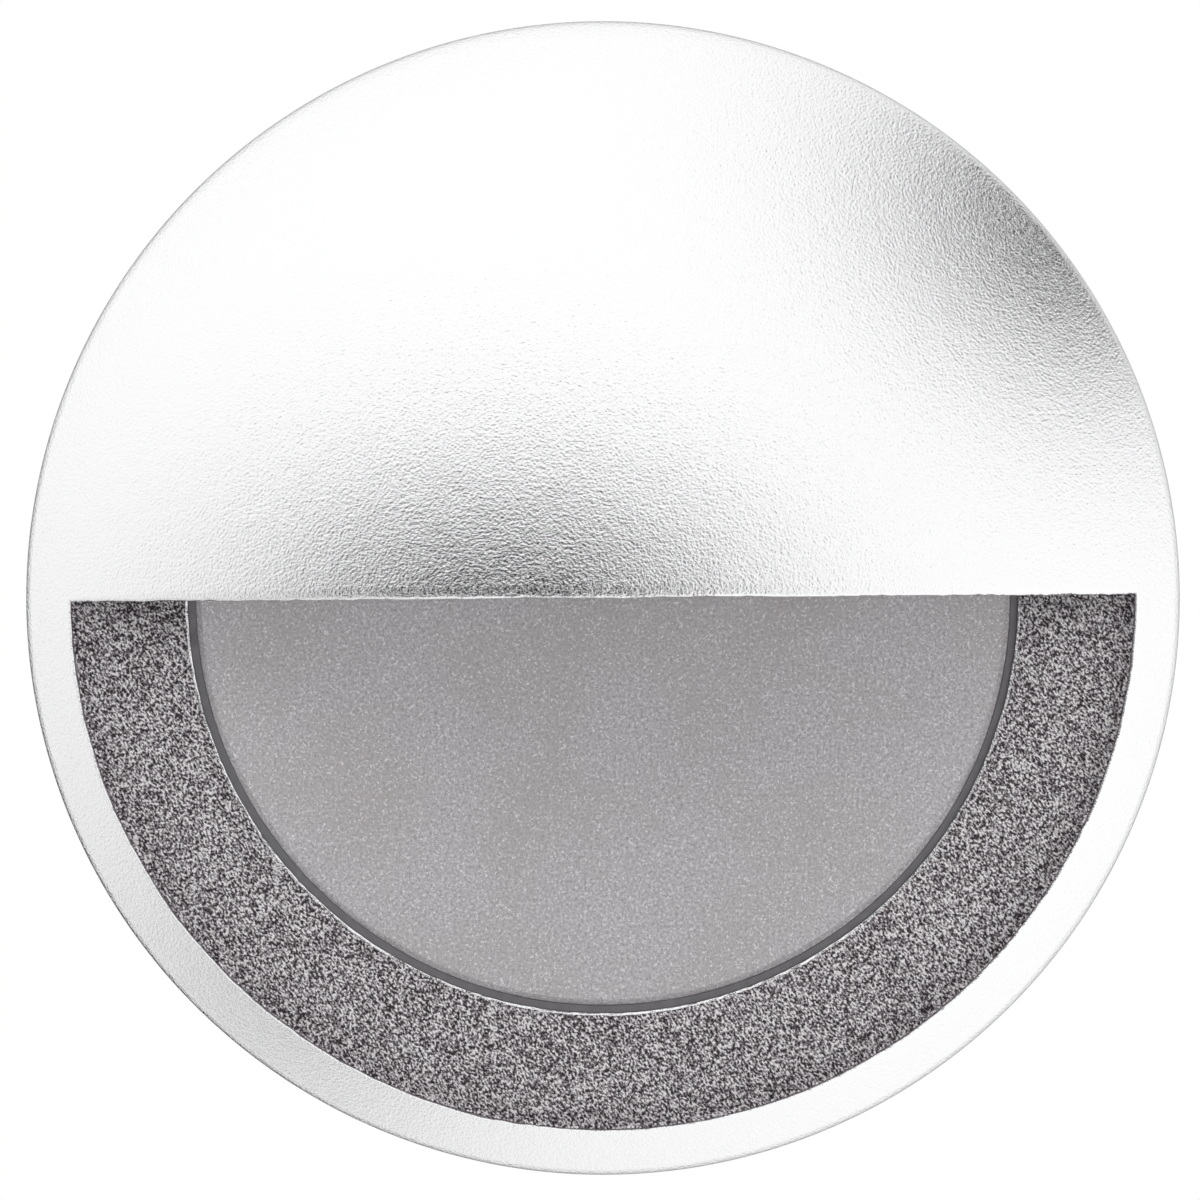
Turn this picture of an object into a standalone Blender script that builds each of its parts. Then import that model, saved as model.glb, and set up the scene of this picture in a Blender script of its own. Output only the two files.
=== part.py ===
"""Hooded round light that is sunk into a hollow wall, in metres, with +Z up.

The face looks along -Y and the body reaches along +Y into the wall. The origin is the middle of the
hole in the wall, in the wall's surface, where the back of the face's rim rests. Depth means Y.
"""

import math

import bmesh
import bpy
from mathutils import Matrix, Vector

# Gaps and overruns that every piece shares.
GAP = 0.0003  # between pieces that touch
SLIP = 0.0002  # round screws, seals and threads
CUT = 0.0010  # how far a cut runs past the surface
SINK = 0.0006  # how far a boss or a fin runs into the wall that it grows from
MERGE = 0.00001

# Sides of round pieces.
FACE_SIDES = 64
BODY_SIDES = 48
SMALL_SIDES = 16
SCREW_SIDES = 10
HEX_SIDES = 6
RING_SIDES = 6  # of an O-ring's section
DOME_RINGS = 9
LENS_RINGS = 3
CROWN_RINGS = 5
WIRE_RESOLUTION = 1
SMOOTH_ANGLE = math.radians(32)

# Face casting: domed disc with a hood over the upper half of its window.
FACE_RADIUS = 0.0400
FACE_EDGE = 0.0015  # straight side wall round the disc
DOME_RISE = 0.0150
HOOD_WALL = 0.0022
RIM_WIDTH = 0.0032
SHELF_WIDTH = 0.00805
SHELF_HEIGHT = 0.0022  # over the wall's surface
NECK_WALL = 0.00425
LEDGE_WIDTH = 0.00255
LEDGE_THICKNESS = 0.0052
GROOVE_INSET = 0.0018
GROOVE_WIDTH = 0.0030
GROOVE_DEPTH = 0.0009
GASKET_PROUD = 0.0003

# Window glass and its seal.
GLASS_GAP = 0.00055
GLASS_THICKNESS = 0.0040
GLASS_SUNK = 0.0003
GLASS_ARRIS = 0.0004
SEAL_FOOT = 0.0006
SEAL_FOOT_WIDTH = 0.0021
SEAL_UPSTAND = 0.00025
SEAL_SUNK = 0.0004

# Finned housing behind the face.
SPIGOT_WALL = 0.0029
SPIGOT_LENGTH = 0.0035
RING_SECTION = 0.0007  # radius of an O-ring's section
RING_SETBACK = 0.0016  # from a spigot's end to the middle of its groove
FLANGE_THICKNESS = 0.0030
CORE_WALL = 0.0032
FLAT_WALL = 0.0019
FLAT_MARGIN = 0.0010
LIGHT_CHAMBER = 0.0132
PARTITION = 0.0050
DRIVER_CHAMBER = 0.0230
FIN_COUNT = 24
FIN_THICKNESS = 0.0015
FIN_SETBACK = 0.0005
FIN_END_SETBACK = 0.0020
FIN_SLOPE = 0.0045
CLIP_ANGLES = (0.0, math.pi)
FIN_CLEARANCE = 0.0010  # to the bosses and the clips

# Screws: radius and length of the shank, then radius and height of the head.
BODY_SCREW_SIZES = (0.0015, 0.0072, 0.0027, 0.0018)
COVER_SCREW_SIZES = (0.0015, 0.0095, 0.0027, 0.0018)
CLIP_SCREW_SIZES = (0.00125, 0.0060, 0.0023, 0.0015)
BOARD_SCREW_SIZES = (0.0011, 0.0052, 0.0020, 0.0014)
SOCKET_SHARE = 0.5
SCREW_ANGLES = tuple(math.radians(a) for a in (30, 150, 270))
COVER_ANGLES = tuple(math.radians(a) for a in (90, 210, 330))
SCREW_CIRCLE_SHARE = 0.53
DRIVER_CLEARANCE = 0.0006
BOSS_WALL = 0.0019
BOSS_OFFSET = 0.0028
BOSS_LENGTH = 0.0100

# Rear cover and cable gland.
COVER_THICKNESS = 0.0030
COVER_SPIGOT = 0.0040
COVER_SPIGOT_WALL = 0.0027
EAR_STEP = 0.0004
GLAND_THREAD_RADIUS = 0.0060
GLAND_BORE_RADIUS = 0.0036
GLAND_STUB = 0.0042
GLAND_ACROSS_FLATS = 0.0170
GLAND_HEX = 0.0042
GLAND_COLLAR_RADIUS = 0.0068
GLAND_COLLAR = 0.0075
GLAND_NUT_WALL = 0.0013
GLAND_NUT_HEX = 0.0070
GLAND_DOME = 0.0048
GLAND_MOUTH_RADIUS = 0.0036
GLAND_SEAL_WALL = 0.0016
GLAND_WASHER = 0.0010
LOCKNUT = 0.0028

# Light engine.
PAD_THICKNESS = 0.0005
BOARD_THICKNESS = 0.0016
LED_BOARD_MARGIN = 0.0040
LED_BOARD_SCREW_SHARE = 0.87
LED_SIDE = 0.0034
LED_HEIGHT = 0.0007
LED_LENS_RADIUS = 0.0013
LED_LENS_SHARE = 0.5  # of the lens's radius that it stands out
LED_CIRCLE_RADIUS = 0.0048
LED_COUNT = 3
REFLECTOR_WALL = 0.0010
REFLECTOR_THROAT_SHARE = 0.413  # of the chamber's radius
REFLECTOR_RIM = 0.0010

# Driver board and what stands on it.
PILLAR_RADIUS = 0.0022
PILLAR_HEIGHT = 0.0050
PILLAR_CIRCLE_SHARE = 0.76
PILLAR_ANGLES = tuple(math.radians(a) for a in (0, 180, 270))
DRIVER_BOARD_MARGIN = 0.0022
DRIVER_CORNER_SHARE = (0.42, 0.40)  # of the board's radius, where its lower right corner is cut off
TRANSFORMER_SHARES = (0.625, 0.457)  # width and depth, of the board's radius like the places
TRANSFORMER_HEIGHT = 0.0110
TRANSFORMER_PLACE_SHARE = (-0.44, 0.36)
CORE_LIMB = 0.0020
WINDING_LENGTH_SHARE = 0.5
CAPACITOR_RADIUS_SHARE = 0.192
CAPACITOR_HEIGHT = 0.0095
CAPACITOR_CRIMP = 0.0004
CAPACITOR_GROOVE = 0.0008  # from the board to the middle of the crimped groove
CAPACITOR_PLACE_SHARE = (0.50, 0.36)
CHIP_SHARES = (0.24, 0.19)
CHIP_HEIGHT = 0.0016
CHIP_BEVEL = 0.0003
CHIP_PLACE_SHARE = (0.10, -0.02)
FUSE_RADIUS_SHARE = 0.072
FUSE_LENGTH_SHARE = 0.36
FUSE_PLACE_SHARE = (-0.58, -0.30)
TERMINAL_PITCH_SHARE = 0.23
TERMINAL_COUNT = 3
TERMINAL_DEPTH_SHARE = 0.385
TERMINAL_HEIGHT = 0.0085
TERMINAL_ENTRY_RADIUS_SHARE = 0.27  # of the pitch
TERMINAL_ENTRY_SHARE = 0.35  # of the height
TERMINAL_SCREW_SHARES = (0.25, 0.354)  # radii of the shank and the head, of the pitch
TERMINAL_SCREW_LENGTH = 0.0030
TERMINAL_SCREW_HEAD = 0.0010
TERMINAL_PLACE_SHARE = (-0.02, -0.52)
TERMINAL_SCREW_SUNK = 0.0006

# Leads from the driver to the light engine, and the earth lead.
LEAD_RADIUS = 0.0006
LEAD_SPREAD = 0.0009
LEAD_BEND = 0.0017
LEAD_STRAIGHT = 0.0013
LEAD_PAD_INSET = 0.0046
LEAD_HOLE_MARGIN = 0.0043
BEND_POINTS = 4
GROMMET_BARREL = 0.0028
GROMMET_FLANGE = 0.0034
GROMMET_BORE = 0.0020
GROMMET_LIP = 0.0008
LUG_THICKNESS = 0.0008
LUG_RADIUS = 0.0027
LUG_TAIL = 0.0046
LUG_TAIL_WIDTH = 0.0030
EARTH_PLACE_SHARE = (0.64, -0.49)
EARTH_TAIL_ANGLE = math.radians(232)

# Spring clips that grip the back of the wall board.
SHEET = 0.0010
WING_SHEET = 0.0008
BRACKET_HALF_WIDTH = 0.0065
BRACKET_FRONT = 0.0040  # from the screw to the front end
BRACKET_REAR = 0.0040  # from the pivot to the rear end
BRACKET_CHEEK = 0.0035  # from the pivot to the front edge of the cheeks
BRACKET_CHEEK_TOP = 0.0023
BRACKET_KERB = 0.0008
BRACKET_ROUND = 0.0018
PEG_RADIUS = 0.0010
PEG_HEIGHT = 0.0009
PEG_SETBACK = 0.0022
PIVOT_SETBACK = 0.0110  # from the bracket's screw to the pivot
PIN_RADIUS = 0.0011
PIN_HEAD_RADIUS = 0.0018
PIN_HEAD = 0.0007
PIN_FACE_SHARE = 0.67
WING_OPEN_ANGLE = math.radians(14)
WING_CHEEK_CLEARANCE = 0.0003
WING_HEEL = 0.0033
WING_CHEEK_REACH = 0.0022  # from the pivot towards the housing
WING_HEEL_ROUND = 0.0020
WING_TIP_CLEARANCE = 0.0025  # from the neck, with the wing along the housing
WING_FOOT = 0.0009
WING_TAPER = 0.0150
WING_FLANGE = 0.0009
WING_CHEEK_FRONT = 0.0032
WING_HOLE_RADIUS = 0.0026
SPRING_WIRE = 0.0004  # radius
SPRING_RADIUS = 0.0020  # to the middle of the wire
SPRING_PITCH = 0.00125
SPRING_CURLS = 4
CURL_POINTS = 10
SPRING_LEG = 0.0058
SPRING_BEND = 0.0005
SPRING_END_CLEARANCE = 0.0001

# The dome is part of a sphere through the disc's edge.
SPHERE_RADIUS = (FACE_RADIUS**2 + DOME_RISE**2) / (2 * DOME_RISE)
SPHERE_Y = SPHERE_RADIUS - DOME_RISE - FACE_EDGE

# Places that follow from the sizes above. Radii first, from the face inwards.
RECESS_RADIUS = FACE_RADIUS - RIM_WIDTH
BORE_RADIUS = RECESS_RADIUS - SHELF_WIDTH
GLASS_RADIUS = BORE_RADIUS - GLASS_GAP
LEDGE_RADIUS = BORE_RADIUS - LEDGE_WIDTH
NECK_RADIUS = BORE_RADIUS + NECK_WALL
SPIGOT_RADIUS = LEDGE_RADIUS - GAP
CHAMBER_RADIUS = SPIGOT_RADIUS - SPIGOT_WALL
CORE_RADIUS = CHAMBER_RADIUS + CORE_WALL
FIN_RADIUS = NECK_RADIUS - FIN_SETBACK
SCREW_CIRCLE = LEDGE_RADIUS + (NECK_RADIUS - LEDGE_RADIUS) * SCREW_CIRCLE_SHARE
BOSS_RADIUS = COVER_SCREW_SIZES[0] + BOSS_WALL
BOSS_CIRCLE = CORE_RADIUS + BOSS_OFFSET
LED_BOARD_RADIUS = CHAMBER_RADIUS - LED_BOARD_MARGIN
DRIVER_BOARD_RADIUS = CHAMBER_RADIUS - DRIVER_BOARD_MARGIN
TERMINAL_PITCH = DRIVER_BOARD_RADIUS * TERMINAL_PITCH_SHARE
TERMINAL_WIDTH = TERMINAL_PITCH * TERMINAL_COUNT
LEAD_HOLE_Z = CHAMBER_RADIUS - LEAD_HOLE_MARGIN

# Depths, from the shelf backwards.
SHELF_Y = -SHELF_HEIGHT
GLASS_FRONT_Y = SHELF_Y + GLASS_SUNK
GLASS_REAR_Y = GLASS_FRONT_Y + GLASS_THICKNESS
LEDGE_Y = GLASS_REAR_Y + GAP + SEAL_FOOT + GAP
NECK_REAR_Y = LEDGE_Y + LEDGE_THICKNESS
FLANGE_Y = NECK_REAR_Y + GAP
FLANGE_REAR_Y = FLANGE_Y + FLANGE_THICKNESS
SPIGOT_Y = FLANGE_Y - SPIGOT_LENGTH
PARTITION_Y = FLANGE_Y + LIGHT_CHAMBER
PARTITION_REAR_Y = PARTITION_Y + PARTITION
HOUSING_REAR_Y = PARTITION_REAR_Y + DRIVER_CHAMBER
COVER_Y = HOUSING_REAR_Y + GAP
COVER_REAR_Y = COVER_Y + COVER_THICKNESS
PAD_Y = PARTITION_Y - GAP - PAD_THICKNESS
LED_BOARD_Y = PAD_Y - GAP - BOARD_THICKNESS
PILLAR_TOP_Y = PARTITION_REAR_Y + PILLAR_HEIGHT
DRIVER_BOARD_Y = PILLAR_TOP_Y + GAP
DRIVER_TOP_Y = DRIVER_BOARD_Y + BOARD_THICKNESS
CLIP_SCREW_Y = PARTITION_Y + PARTITION / 2
PIVOT_Y = CLIP_SCREW_Y + PIVOT_SETBACK

# The wing's heel rests on the bracket when the wing is open, and so sets the height of the pivot.
FLAT_X = CHAMBER_RADIUS + FLAT_WALL
BRACKET_TOP_X = FLAT_X + GAP + SHEET
HEEL_CENTRE = (WING_HEEL_ROUND - WING_CHEEK_REACH, WING_HEEL - WING_HEEL_ROUND)
HEEL_REACH = (
    WING_HEEL_ROUND
    - HEEL_CENTRE[0] * math.cos(WING_OPEN_ANGLE)
    + HEEL_CENTRE[1] * math.sin(WING_OPEN_ANGLE)
)
PIVOT_X = BRACKET_TOP_X + HEEL_REACH + GAP
WING_LENGTH = PIVOT_Y - NECK_REAR_Y - WING_TIP_CLEARANCE
WING_INSIDE = SPRING_RADIUS + SPRING_WIRE + GAP
WING_OUTSIDE = WING_INSIDE + WING_SHEET
WING_HALF_WIDTH = BRACKET_HALF_WIDTH - SHEET - WING_CHEEK_CLEARANCE

X = Vector((1, 0, 0))
Y = Vector((0, 1, 0))
Z = Vector((0, 0, 1))
PARTS = bpy.data.collections.new("recessed_spotlight")
CUTTERS = bpy.data.collections.new("cutters")


def start_scene():
    for obj in list(bpy.data.objects):
        bpy.data.objects.remove(obj, do_unlink=True)
    for group in (PARTS, CUTTERS):
        bpy.context.scene.collection.children.link(group)


def finish(name, colour, roughness, metallic=0.0):
    """A plain finish. The colour is sRGB, turned to linear."""
    made = bpy.data.materials.new(name)
    made.use_nodes = True
    shader = made.node_tree.nodes["Principled BSDF"]
    linear = [((c + 0.055) / 1.055) ** 2.4 for c in colour]
    shader.inputs["Base Color"].default_value = (*linear, 1)
    shader.inputs["Roughness"].default_value = roughness
    shader.inputs["Metallic"].default_value = metallic
    return made


def new_object(name, data, where=(0, 0, 0)):
    obj = bpy.data.objects.new(name, data)
    obj.location = where
    PARTS.objects.link(obj)
    return obj


def from_bmesh(name, bm, where=(0, 0, 0)):
    mesh = bpy.data.meshes.new(name)
    bm.to_mesh(mesh)
    bm.free()
    return new_object(name, mesh, where)


def turned(name, profile, sides, where=(0, 0, 0)):
    """A profile of (radius, depth), turned about Y. It runs down its outer side from back to front.

    It is closed into a ring, unless it starts on the axis.
    """
    count = len(profile)
    edges = [(i, i + 1) for i in range(count - 1)]
    if profile[0][0] > 0:
        edges.append((count - 1, 0))
    mesh = bpy.data.meshes.new(name)
    mesh.from_pydata([(radius, depth, 0) for radius, depth in profile], edges, [])
    obj = new_object(name, mesh, where)
    screw = obj.modifiers.new("Turn", "SCREW")
    screw.axis = "Y"
    screw.steps = screw.render_steps = sides
    screw.use_merge_vertices = True
    screw.merge_threshold = MERGE
    return obj


def block(name, size, middle=(0, 0, 0), turn=Matrix()):
    """A box of a size, with its middle at a point, then turned about the origin."""
    bm = bmesh.new()
    place = turn @ Matrix.Translation(middle) @ Matrix.Diagonal((*size, 1))
    bmesh.ops.create_cube(bm, size=1, matrix=place)
    return from_bmesh(name, bm)


def add_rod(bm, start, direction, radius, length, sides):
    turn = Z.rotation_difference(direction).to_matrix().to_4x4()
    middle = Vector(start) + Vector(direction) * length / 2
    place = Matrix.Translation(middle) @ turn
    bmesh.ops.create_cone(
        bm,
        cap_ends=True,
        segments=sides,
        radius1=radius,
        radius2=radius,
        depth=length,
        matrix=place,
    )


def rods(name, starts, radius, length, sides=SMALL_SIDES, direction=Y):
    """Round bars of one size that run along a direction from each start."""
    bm = bmesh.new()
    for start in starts:
        add_rod(bm, start, direction, radius, length, sides)
    return from_bmesh(name, bm)


def wire(name, points, radius):
    """A round wire through a list of points, with filled ends, as a mesh."""
    curve = bpy.data.curves.new(name, "CURVE")
    curve.dimensions = "3D"
    curve.bevel_depth = radius
    curve.bevel_resolution = WIRE_RESOLUTION
    curve.use_fill_caps = True
    spline = curve.splines.new("POLY")
    spline.points.add(len(points) - 1)
    for spot, place in zip(spline.points, points):
        spot.co = (*place, 1)
    guide = new_object(name + "_guide", curve)
    bpy.context.view_layer.update()
    graph = bpy.context.evaluated_depsgraph_get()
    mesh = bpy.data.meshes.new_from_object(guide.evaluated_get(graph))
    bpy.data.objects.remove(guide, do_unlink=True)
    bm = bmesh.new()
    bm.from_mesh(mesh)
    bmesh.ops.remove_doubles(bm, verts=bm.verts, dist=MERGE)
    bpy.data.meshes.remove(mesh)
    return from_bmesh(name, bm)


def combine(obj, tool, operation):
    """Adds a Boolean with a tool, which moves to the cutters and then follows the object."""
    PARTS.objects.unlink(tool)
    CUTTERS.objects.link(tool)
    tool.parent = obj
    tool.hide_render = True
    tool.display_type = "WIRE"
    boolean = obj.modifiers.new(tool.name, "BOOLEAN")
    boolean.operation = operation
    boolean.solver = "EXACT"
    boolean.object = tool
    return obj


def cut(obj, tool):
    return combine(obj, tool, "DIFFERENCE")


def join(obj, tool):
    return combine(obj, tool, "UNION")


def made(obj, material):
    """The finished piece: its modifiers applied, round faces smooth, and its material given."""
    bpy.context.view_layer.update()
    graph = bpy.context.evaluated_depsgraph_get()
    mesh = bpy.data.meshes.new_from_object(obj.evaluated_get(graph))
    obj.modifiers.clear()
    obj.data = mesh
    mesh.name = obj.name
    mesh.shade_smooth()
    mesh.set_sharp_from_angle(angle=SMOOTH_ANGLE)
    mesh.materials.clear()
    mesh.materials.append(material)
    return obj


def twin(obj, name, parent=None):
    """Another piece with the same mesh, place and turn."""
    copy = new_object(name, obj.data, obj.location)
    copy.rotation_euler = obj.rotation_euler
    copy.parent = parent
    return copy


def polar(radius, angle, depth=0.0):
    """The point at an angle from +X towards +Z."""
    return Vector((radius * math.cos(angle), depth, radius * math.sin(angle)))


def radial(angle):
    """The turn about Y that takes +X to an angle towards +Z."""
    return Matrix.Rotation(-angle, 4, "Y")


def arc(centre, radius, start, end, count):
    """Points of (across, along) on an arc between two angles."""
    step = (end - start) / count
    angles = [start + step * i for i in range(count + 1)]
    return [
        (centre[0] + radius * math.cos(a), centre[1] + radius * math.sin(a))
        for a in angles
    ]


def dome(radius, rim_radius):
    """A cap's (radius, depth) from its rim to its top, on a sphere with the dome's middle."""
    reach = math.asin(rim_radius / radius)
    angles = [reach * (1 - i / DOME_RINGS) for i in range(DOME_RINGS)] + [0]
    return [(radius * math.sin(a), SPHERE_Y - radius * math.cos(a)) for a in angles]


def face_casting(material):
    """Domed disc, hollowed to a hood above and to a flat shelf round the window below."""
    inner = SPHERE_RADIUS - HOOD_WALL
    hollow_radius = math.sqrt(inner**2 - (SPHERE_Y - SHELF_Y) ** 2)
    solid = [
        (0, NECK_REAR_Y),
        (NECK_RADIUS, NECK_REAR_Y),
        (NECK_RADIUS, 0),
        (FACE_RADIUS, 0),
    ]
    hollow = [
        (0, NECK_REAR_Y + CUT),
        (LEDGE_RADIUS, NECK_REAR_Y + CUT),
        (LEDGE_RADIUS, LEDGE_Y),
        (BORE_RADIUS, LEDGE_Y),
        (BORE_RADIUS, SHELF_Y),
    ]
    face = turned("face_casting", solid + dome(SPHERE_RADIUS, FACE_RADIUS), FACE_SIDES)
    cut(face, turned("hood_hollow", hollow + dome(inner, hollow_radius), FACE_SIDES))
    shank, length = BODY_SCREW_SIZES[:2]
    depth = length - FLANGE_THICKNESS + SLIP
    starts = [polar(SCREW_CIRCLE, a, NECK_REAR_Y - depth) for a in SCREW_ANGLES]
    cut(face, rods("body_screw_holes", starts, shank + SLIP, depth + CUT, SCREW_SIDES))
    top_y = SPHERE_Y - SPHERE_RADIUS - CUT
    window = turned(
        "window_cut",
        [(0, SHELF_Y), (RECESS_RADIUS, SHELF_Y), (RECESS_RADIUS, top_y), (0, top_y)],
        FACE_SIDES,
    )
    side = 2 * FACE_RADIUS + CUT
    cut(window, block("lip_line", (side, side, side), (0, 0, side / 2)))
    cut(face, window)
    groove_radius = FACE_RADIUS - GROOVE_INSET
    groove = [
        (groove_radius, CUT),
        (groove_radius, -GROOVE_DEPTH),
        (groove_radius - GROOVE_WIDTH, -GROOVE_DEPTH),
        (groove_radius - GROOVE_WIDTH, CUT),
    ]
    cut(face, turned("gasket_groove", groove, FACE_SIDES))
    return made(face, material)


def wall_gasket(material):
    """Flat foam ring in the groove of the rim's back, a little proud of it."""
    outer = FACE_RADIUS - GROOVE_INSET - SLIP
    inner = FACE_RADIUS - GROOVE_INSET - GROOVE_WIDTH + SLIP
    front = -GROOVE_DEPTH + SLIP
    ring = [(outer, GASKET_PROUD), (outer, front), (inner, front), (inner, GASKET_PROUD)]
    return made(turned("wall_gasket", ring, FACE_SIDES), material)


def front_glass(material):
    """Frosted disc with a ground arris on both edges."""
    inset = GLASS_RADIUS - GLASS_ARRIS
    profile = [
        (0, GLASS_THICKNESS),
        (inset, GLASS_THICKNESS),
        (GLASS_RADIUS, GLASS_THICKNESS - GLASS_ARRIS),
        (GLASS_RADIUS, GLASS_ARRIS),
        (inset, 0),
        (0, 0),
    ]
    return made(turned("front_glass", profile, FACE_SIDES, (0, GLASS_FRONT_Y, 0)), material)


def glass_seal(material):
    """Bed of silicone behind the glass, with a thin edge that fills the gap round it."""
    spare = (GLASS_GAP - SEAL_UPSTAND) / 2
    outer = BORE_RADIUS - spare
    front = GLASS_FRONT_Y + SEAL_SUNK
    foot = GLASS_REAR_Y + GAP
    profile = [
        (outer, foot + SEAL_FOOT),
        (outer, front),
        (outer - SEAL_UPSTAND, front),
        (outer - SEAL_UPSTAND, foot),
        (outer - SEAL_FOOT_WIDTH, foot),
        (outer - SEAL_FOOT_WIDTH, foot + SEAL_FOOT),
    ]
    return made(turned("glass_seal", profile, FACE_SIDES), material)


def spigot(radius, root_y, end_y):
    """The outer side of a spigot with its O-ring groove, from its root to its end."""
    toward = math.copysign(1, end_y - root_y)
    middle = end_y - toward * RING_SETBACK
    half = toward * (RING_SECTION + SLIP)
    bottom = radius + GAP - 2 * (RING_SECTION + SLIP)
    return [
        (radius, root_y),
        (radius, middle - half),
        (bottom, middle - half),
        (bottom, middle + half),
        (radius, middle + half),
        (radius, end_y),
    ]


def o_ring(name, bore_radius, depth, material):
    """Rubber ring in a spigot's groove, inside a bore."""
    radius = bore_radius - SLIP - RING_SECTION
    whole = 2 * math.pi
    section = arc((radius, depth), RING_SECTION, whole, 0, RING_SIDES)[:-1]
    return made(turned(name, section, BODY_SIDES), material)


def fins():
    """Upright fins round the core, left out at the clips and the bosses, sloped at the rear."""
    bm = bmesh.new()
    half_ways = [(a, BRACKET_HALF_WIDTH) for a in CLIP_ANGLES]
    half_ways += [(a, BOSS_RADIUS) for a in COVER_ANGLES]
    spare = FIN_CLEARANCE + FIN_THICKNESS / 2
    ways = [(a, math.asin((half + spare) / CORE_RADIUS)) for a, half in half_ways]
    inner = CORE_RADIUS - SINK
    front = FLANGE_REAR_Y - SINK
    length = HOUSING_REAR_Y - FIN_END_SETBACK - front
    for i in range(FIN_COUNT):
        angle = 2 * math.pi * (i + 0.5) / FIN_COUNT
        if any(abs(math.remainder(angle - a, 2 * math.pi)) < half for a, half in ways):
            continue
        middle = ((inner + FIN_RADIUS) / 2, front + length / 2, 0)
        size = (FIN_RADIUS - inner, length, FIN_THICKNESS)
        place = radial(angle) @ Matrix.Translation(middle) @ Matrix.Diagonal((*size, 1))
        bmesh.ops.create_cube(bm, size=1, matrix=place)
    return from_bmesh("fin_set", bm)


def fin_slope():
    """The ring that cuts the fins' rear corners to a slope."""
    rear = HOUSING_REAR_Y - FIN_END_SETBACK
    outer = FIN_RADIUS + CUT
    return turned(
        "fin_slope",
        [
            (outer, rear + CUT),
            (outer, rear - FIN_SLOPE - CUT),
            (FIN_RADIUS - FIN_SLOPE - CUT, rear + CUT),
        ],
        BODY_SIDES,
    )


def earth_place(depth):
    return Vector(
        (
            CHAMBER_RADIUS * EARTH_PLACE_SHARE[0],
            depth,
            CHAMBER_RADIUS * EARTH_PLACE_SHARE[1],
        )
    )


def pillar_places(depth):
    return [polar(CHAMBER_RADIUS * PILLAR_CIRCLE_SHARE, a, depth) for a in PILLAR_ANGLES]


def led_screw_places(depth):
    return [polar(LED_BOARD_RADIUS * LED_BOARD_SCREW_SHARE, a, depth) for a in CLIP_ANGLES]


def housing_holes(housing):
    """Screw holes of the flange, bosses, pillars, partition and flats, and the leads' hole."""
    shank = BODY_SCREW_SIZES[0] + SLIP
    through = FLANGE_THICKNESS + 2 * CUT
    starts = [polar(SCREW_CIRCLE, a, FLANGE_Y - CUT) for a in SCREW_ANGLES]
    cut(housing, rods("flange_holes", starts, shank, through, SCREW_SIDES))
    shank, length = COVER_SCREW_SIZES[:2]
    depth = length - COVER_THICKNESS + SLIP
    starts = [polar(BOSS_CIRCLE, a, HOUSING_REAR_Y - depth) for a in COVER_ANGLES]
    cut(housing, rods("boss_holes", starts, shank + SLIP, depth + CUT, SCREW_SIDES))
    shank, length = BOARD_SCREW_SIZES[:2]
    depth = length - BOARD_THICKNESS + SLIP
    cut(
        housing,
        rods(
            "pillar_holes",
            pillar_places(PILLAR_TOP_Y - depth),
            shank + SLIP,
            depth + CUT,
            SCREW_SIDES,
        ),
    )
    depth = length - LUG_THICKNESS + SLIP
    start = earth_place(PARTITION_REAR_Y - depth)
    cut(housing, rods("earth_hole", [start], shank + SLIP, depth + CUT, SCREW_SIDES))
    depth = length - BOARD_THICKNESS - PAD_THICKNESS - GAP + SLIP
    starts = led_screw_places(PARTITION_Y - CUT)
    cut(housing, rods("board_holes", starts, shank + SLIP, depth + CUT, SCREW_SIDES))
    start = (0, PARTITION_Y - CUT, LEAD_HOLE_Z)
    cut(
        housing,
        rods("lead_hole", [start], GROMMET_BARREL + SLIP, PARTITION + 2 * CUT),
    )
    shank, length = CLIP_SCREW_SIZES[:2]
    depth = length - SHEET + SLIP
    bm = bmesh.new()
    for angle in CLIP_ANGLES:
        outward = polar(1, angle)
        start = outward * (FLAT_X - depth) + Y * CLIP_SCREW_Y
        add_rod(bm, start, outward, shank + SLIP, depth + CUT, SCREW_SIDES)
    cut(housing, from_bmesh("clip_screw_holes", bm))


def clip_seats(housing):
    """Flats for the clips with a locating peg each, and a way through the flange for the wings."""
    front = CLIP_SCREW_Y - BRACKET_FRONT - FLAT_MARGIN
    rear = PIVOT_Y + BRACKET_REAR + FLAT_MARGIN
    height = CORE_RADIUS
    half_chord = math.sqrt(CORE_RADIUS**2 - FLAT_X**2)
    seats = bmesh.new()
    ways = bmesh.new()
    pegs = bmesh.new()
    peg_y = PIVOT_Y + PEG_SETBACK
    way_width = 2 * (WING_HALF_WIDTH + FLAT_MARGIN)
    way_x = BRACKET_TOP_X + FLAT_MARGIN
    for angle in CLIP_ANGLES:
        seat = Matrix.Translation((FLAT_X + height / 2, (front + rear) / 2, 0))
        size = Matrix.Diagonal((height, rear - front, 2 * half_chord, 1))
        bmesh.ops.create_cube(seats, size=1, matrix=radial(angle) @ seat @ size)
        way = Matrix.Translation((way_x + height / 2, FLANGE_Y + FLANGE_THICKNESS / 2, 0))
        size = Matrix.Diagonal((height, FLANGE_THICKNESS + 2 * CUT, way_width, 1))
        bmesh.ops.create_cube(ways, size=1, matrix=radial(angle) @ way @ size)
        outward = polar(1, angle)
        start = outward * (FLAT_X - SINK) + Y * peg_y
        add_rod(pegs, start, outward, PEG_RADIUS, SINK + PEG_HEIGHT, SCREW_SIDES)
    cut(housing, from_bmesh("clip_flats", seats))
    cut(housing, from_bmesh("wing_ways", ways))
    join(housing, from_bmesh("clip_pegs", pegs))


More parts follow.
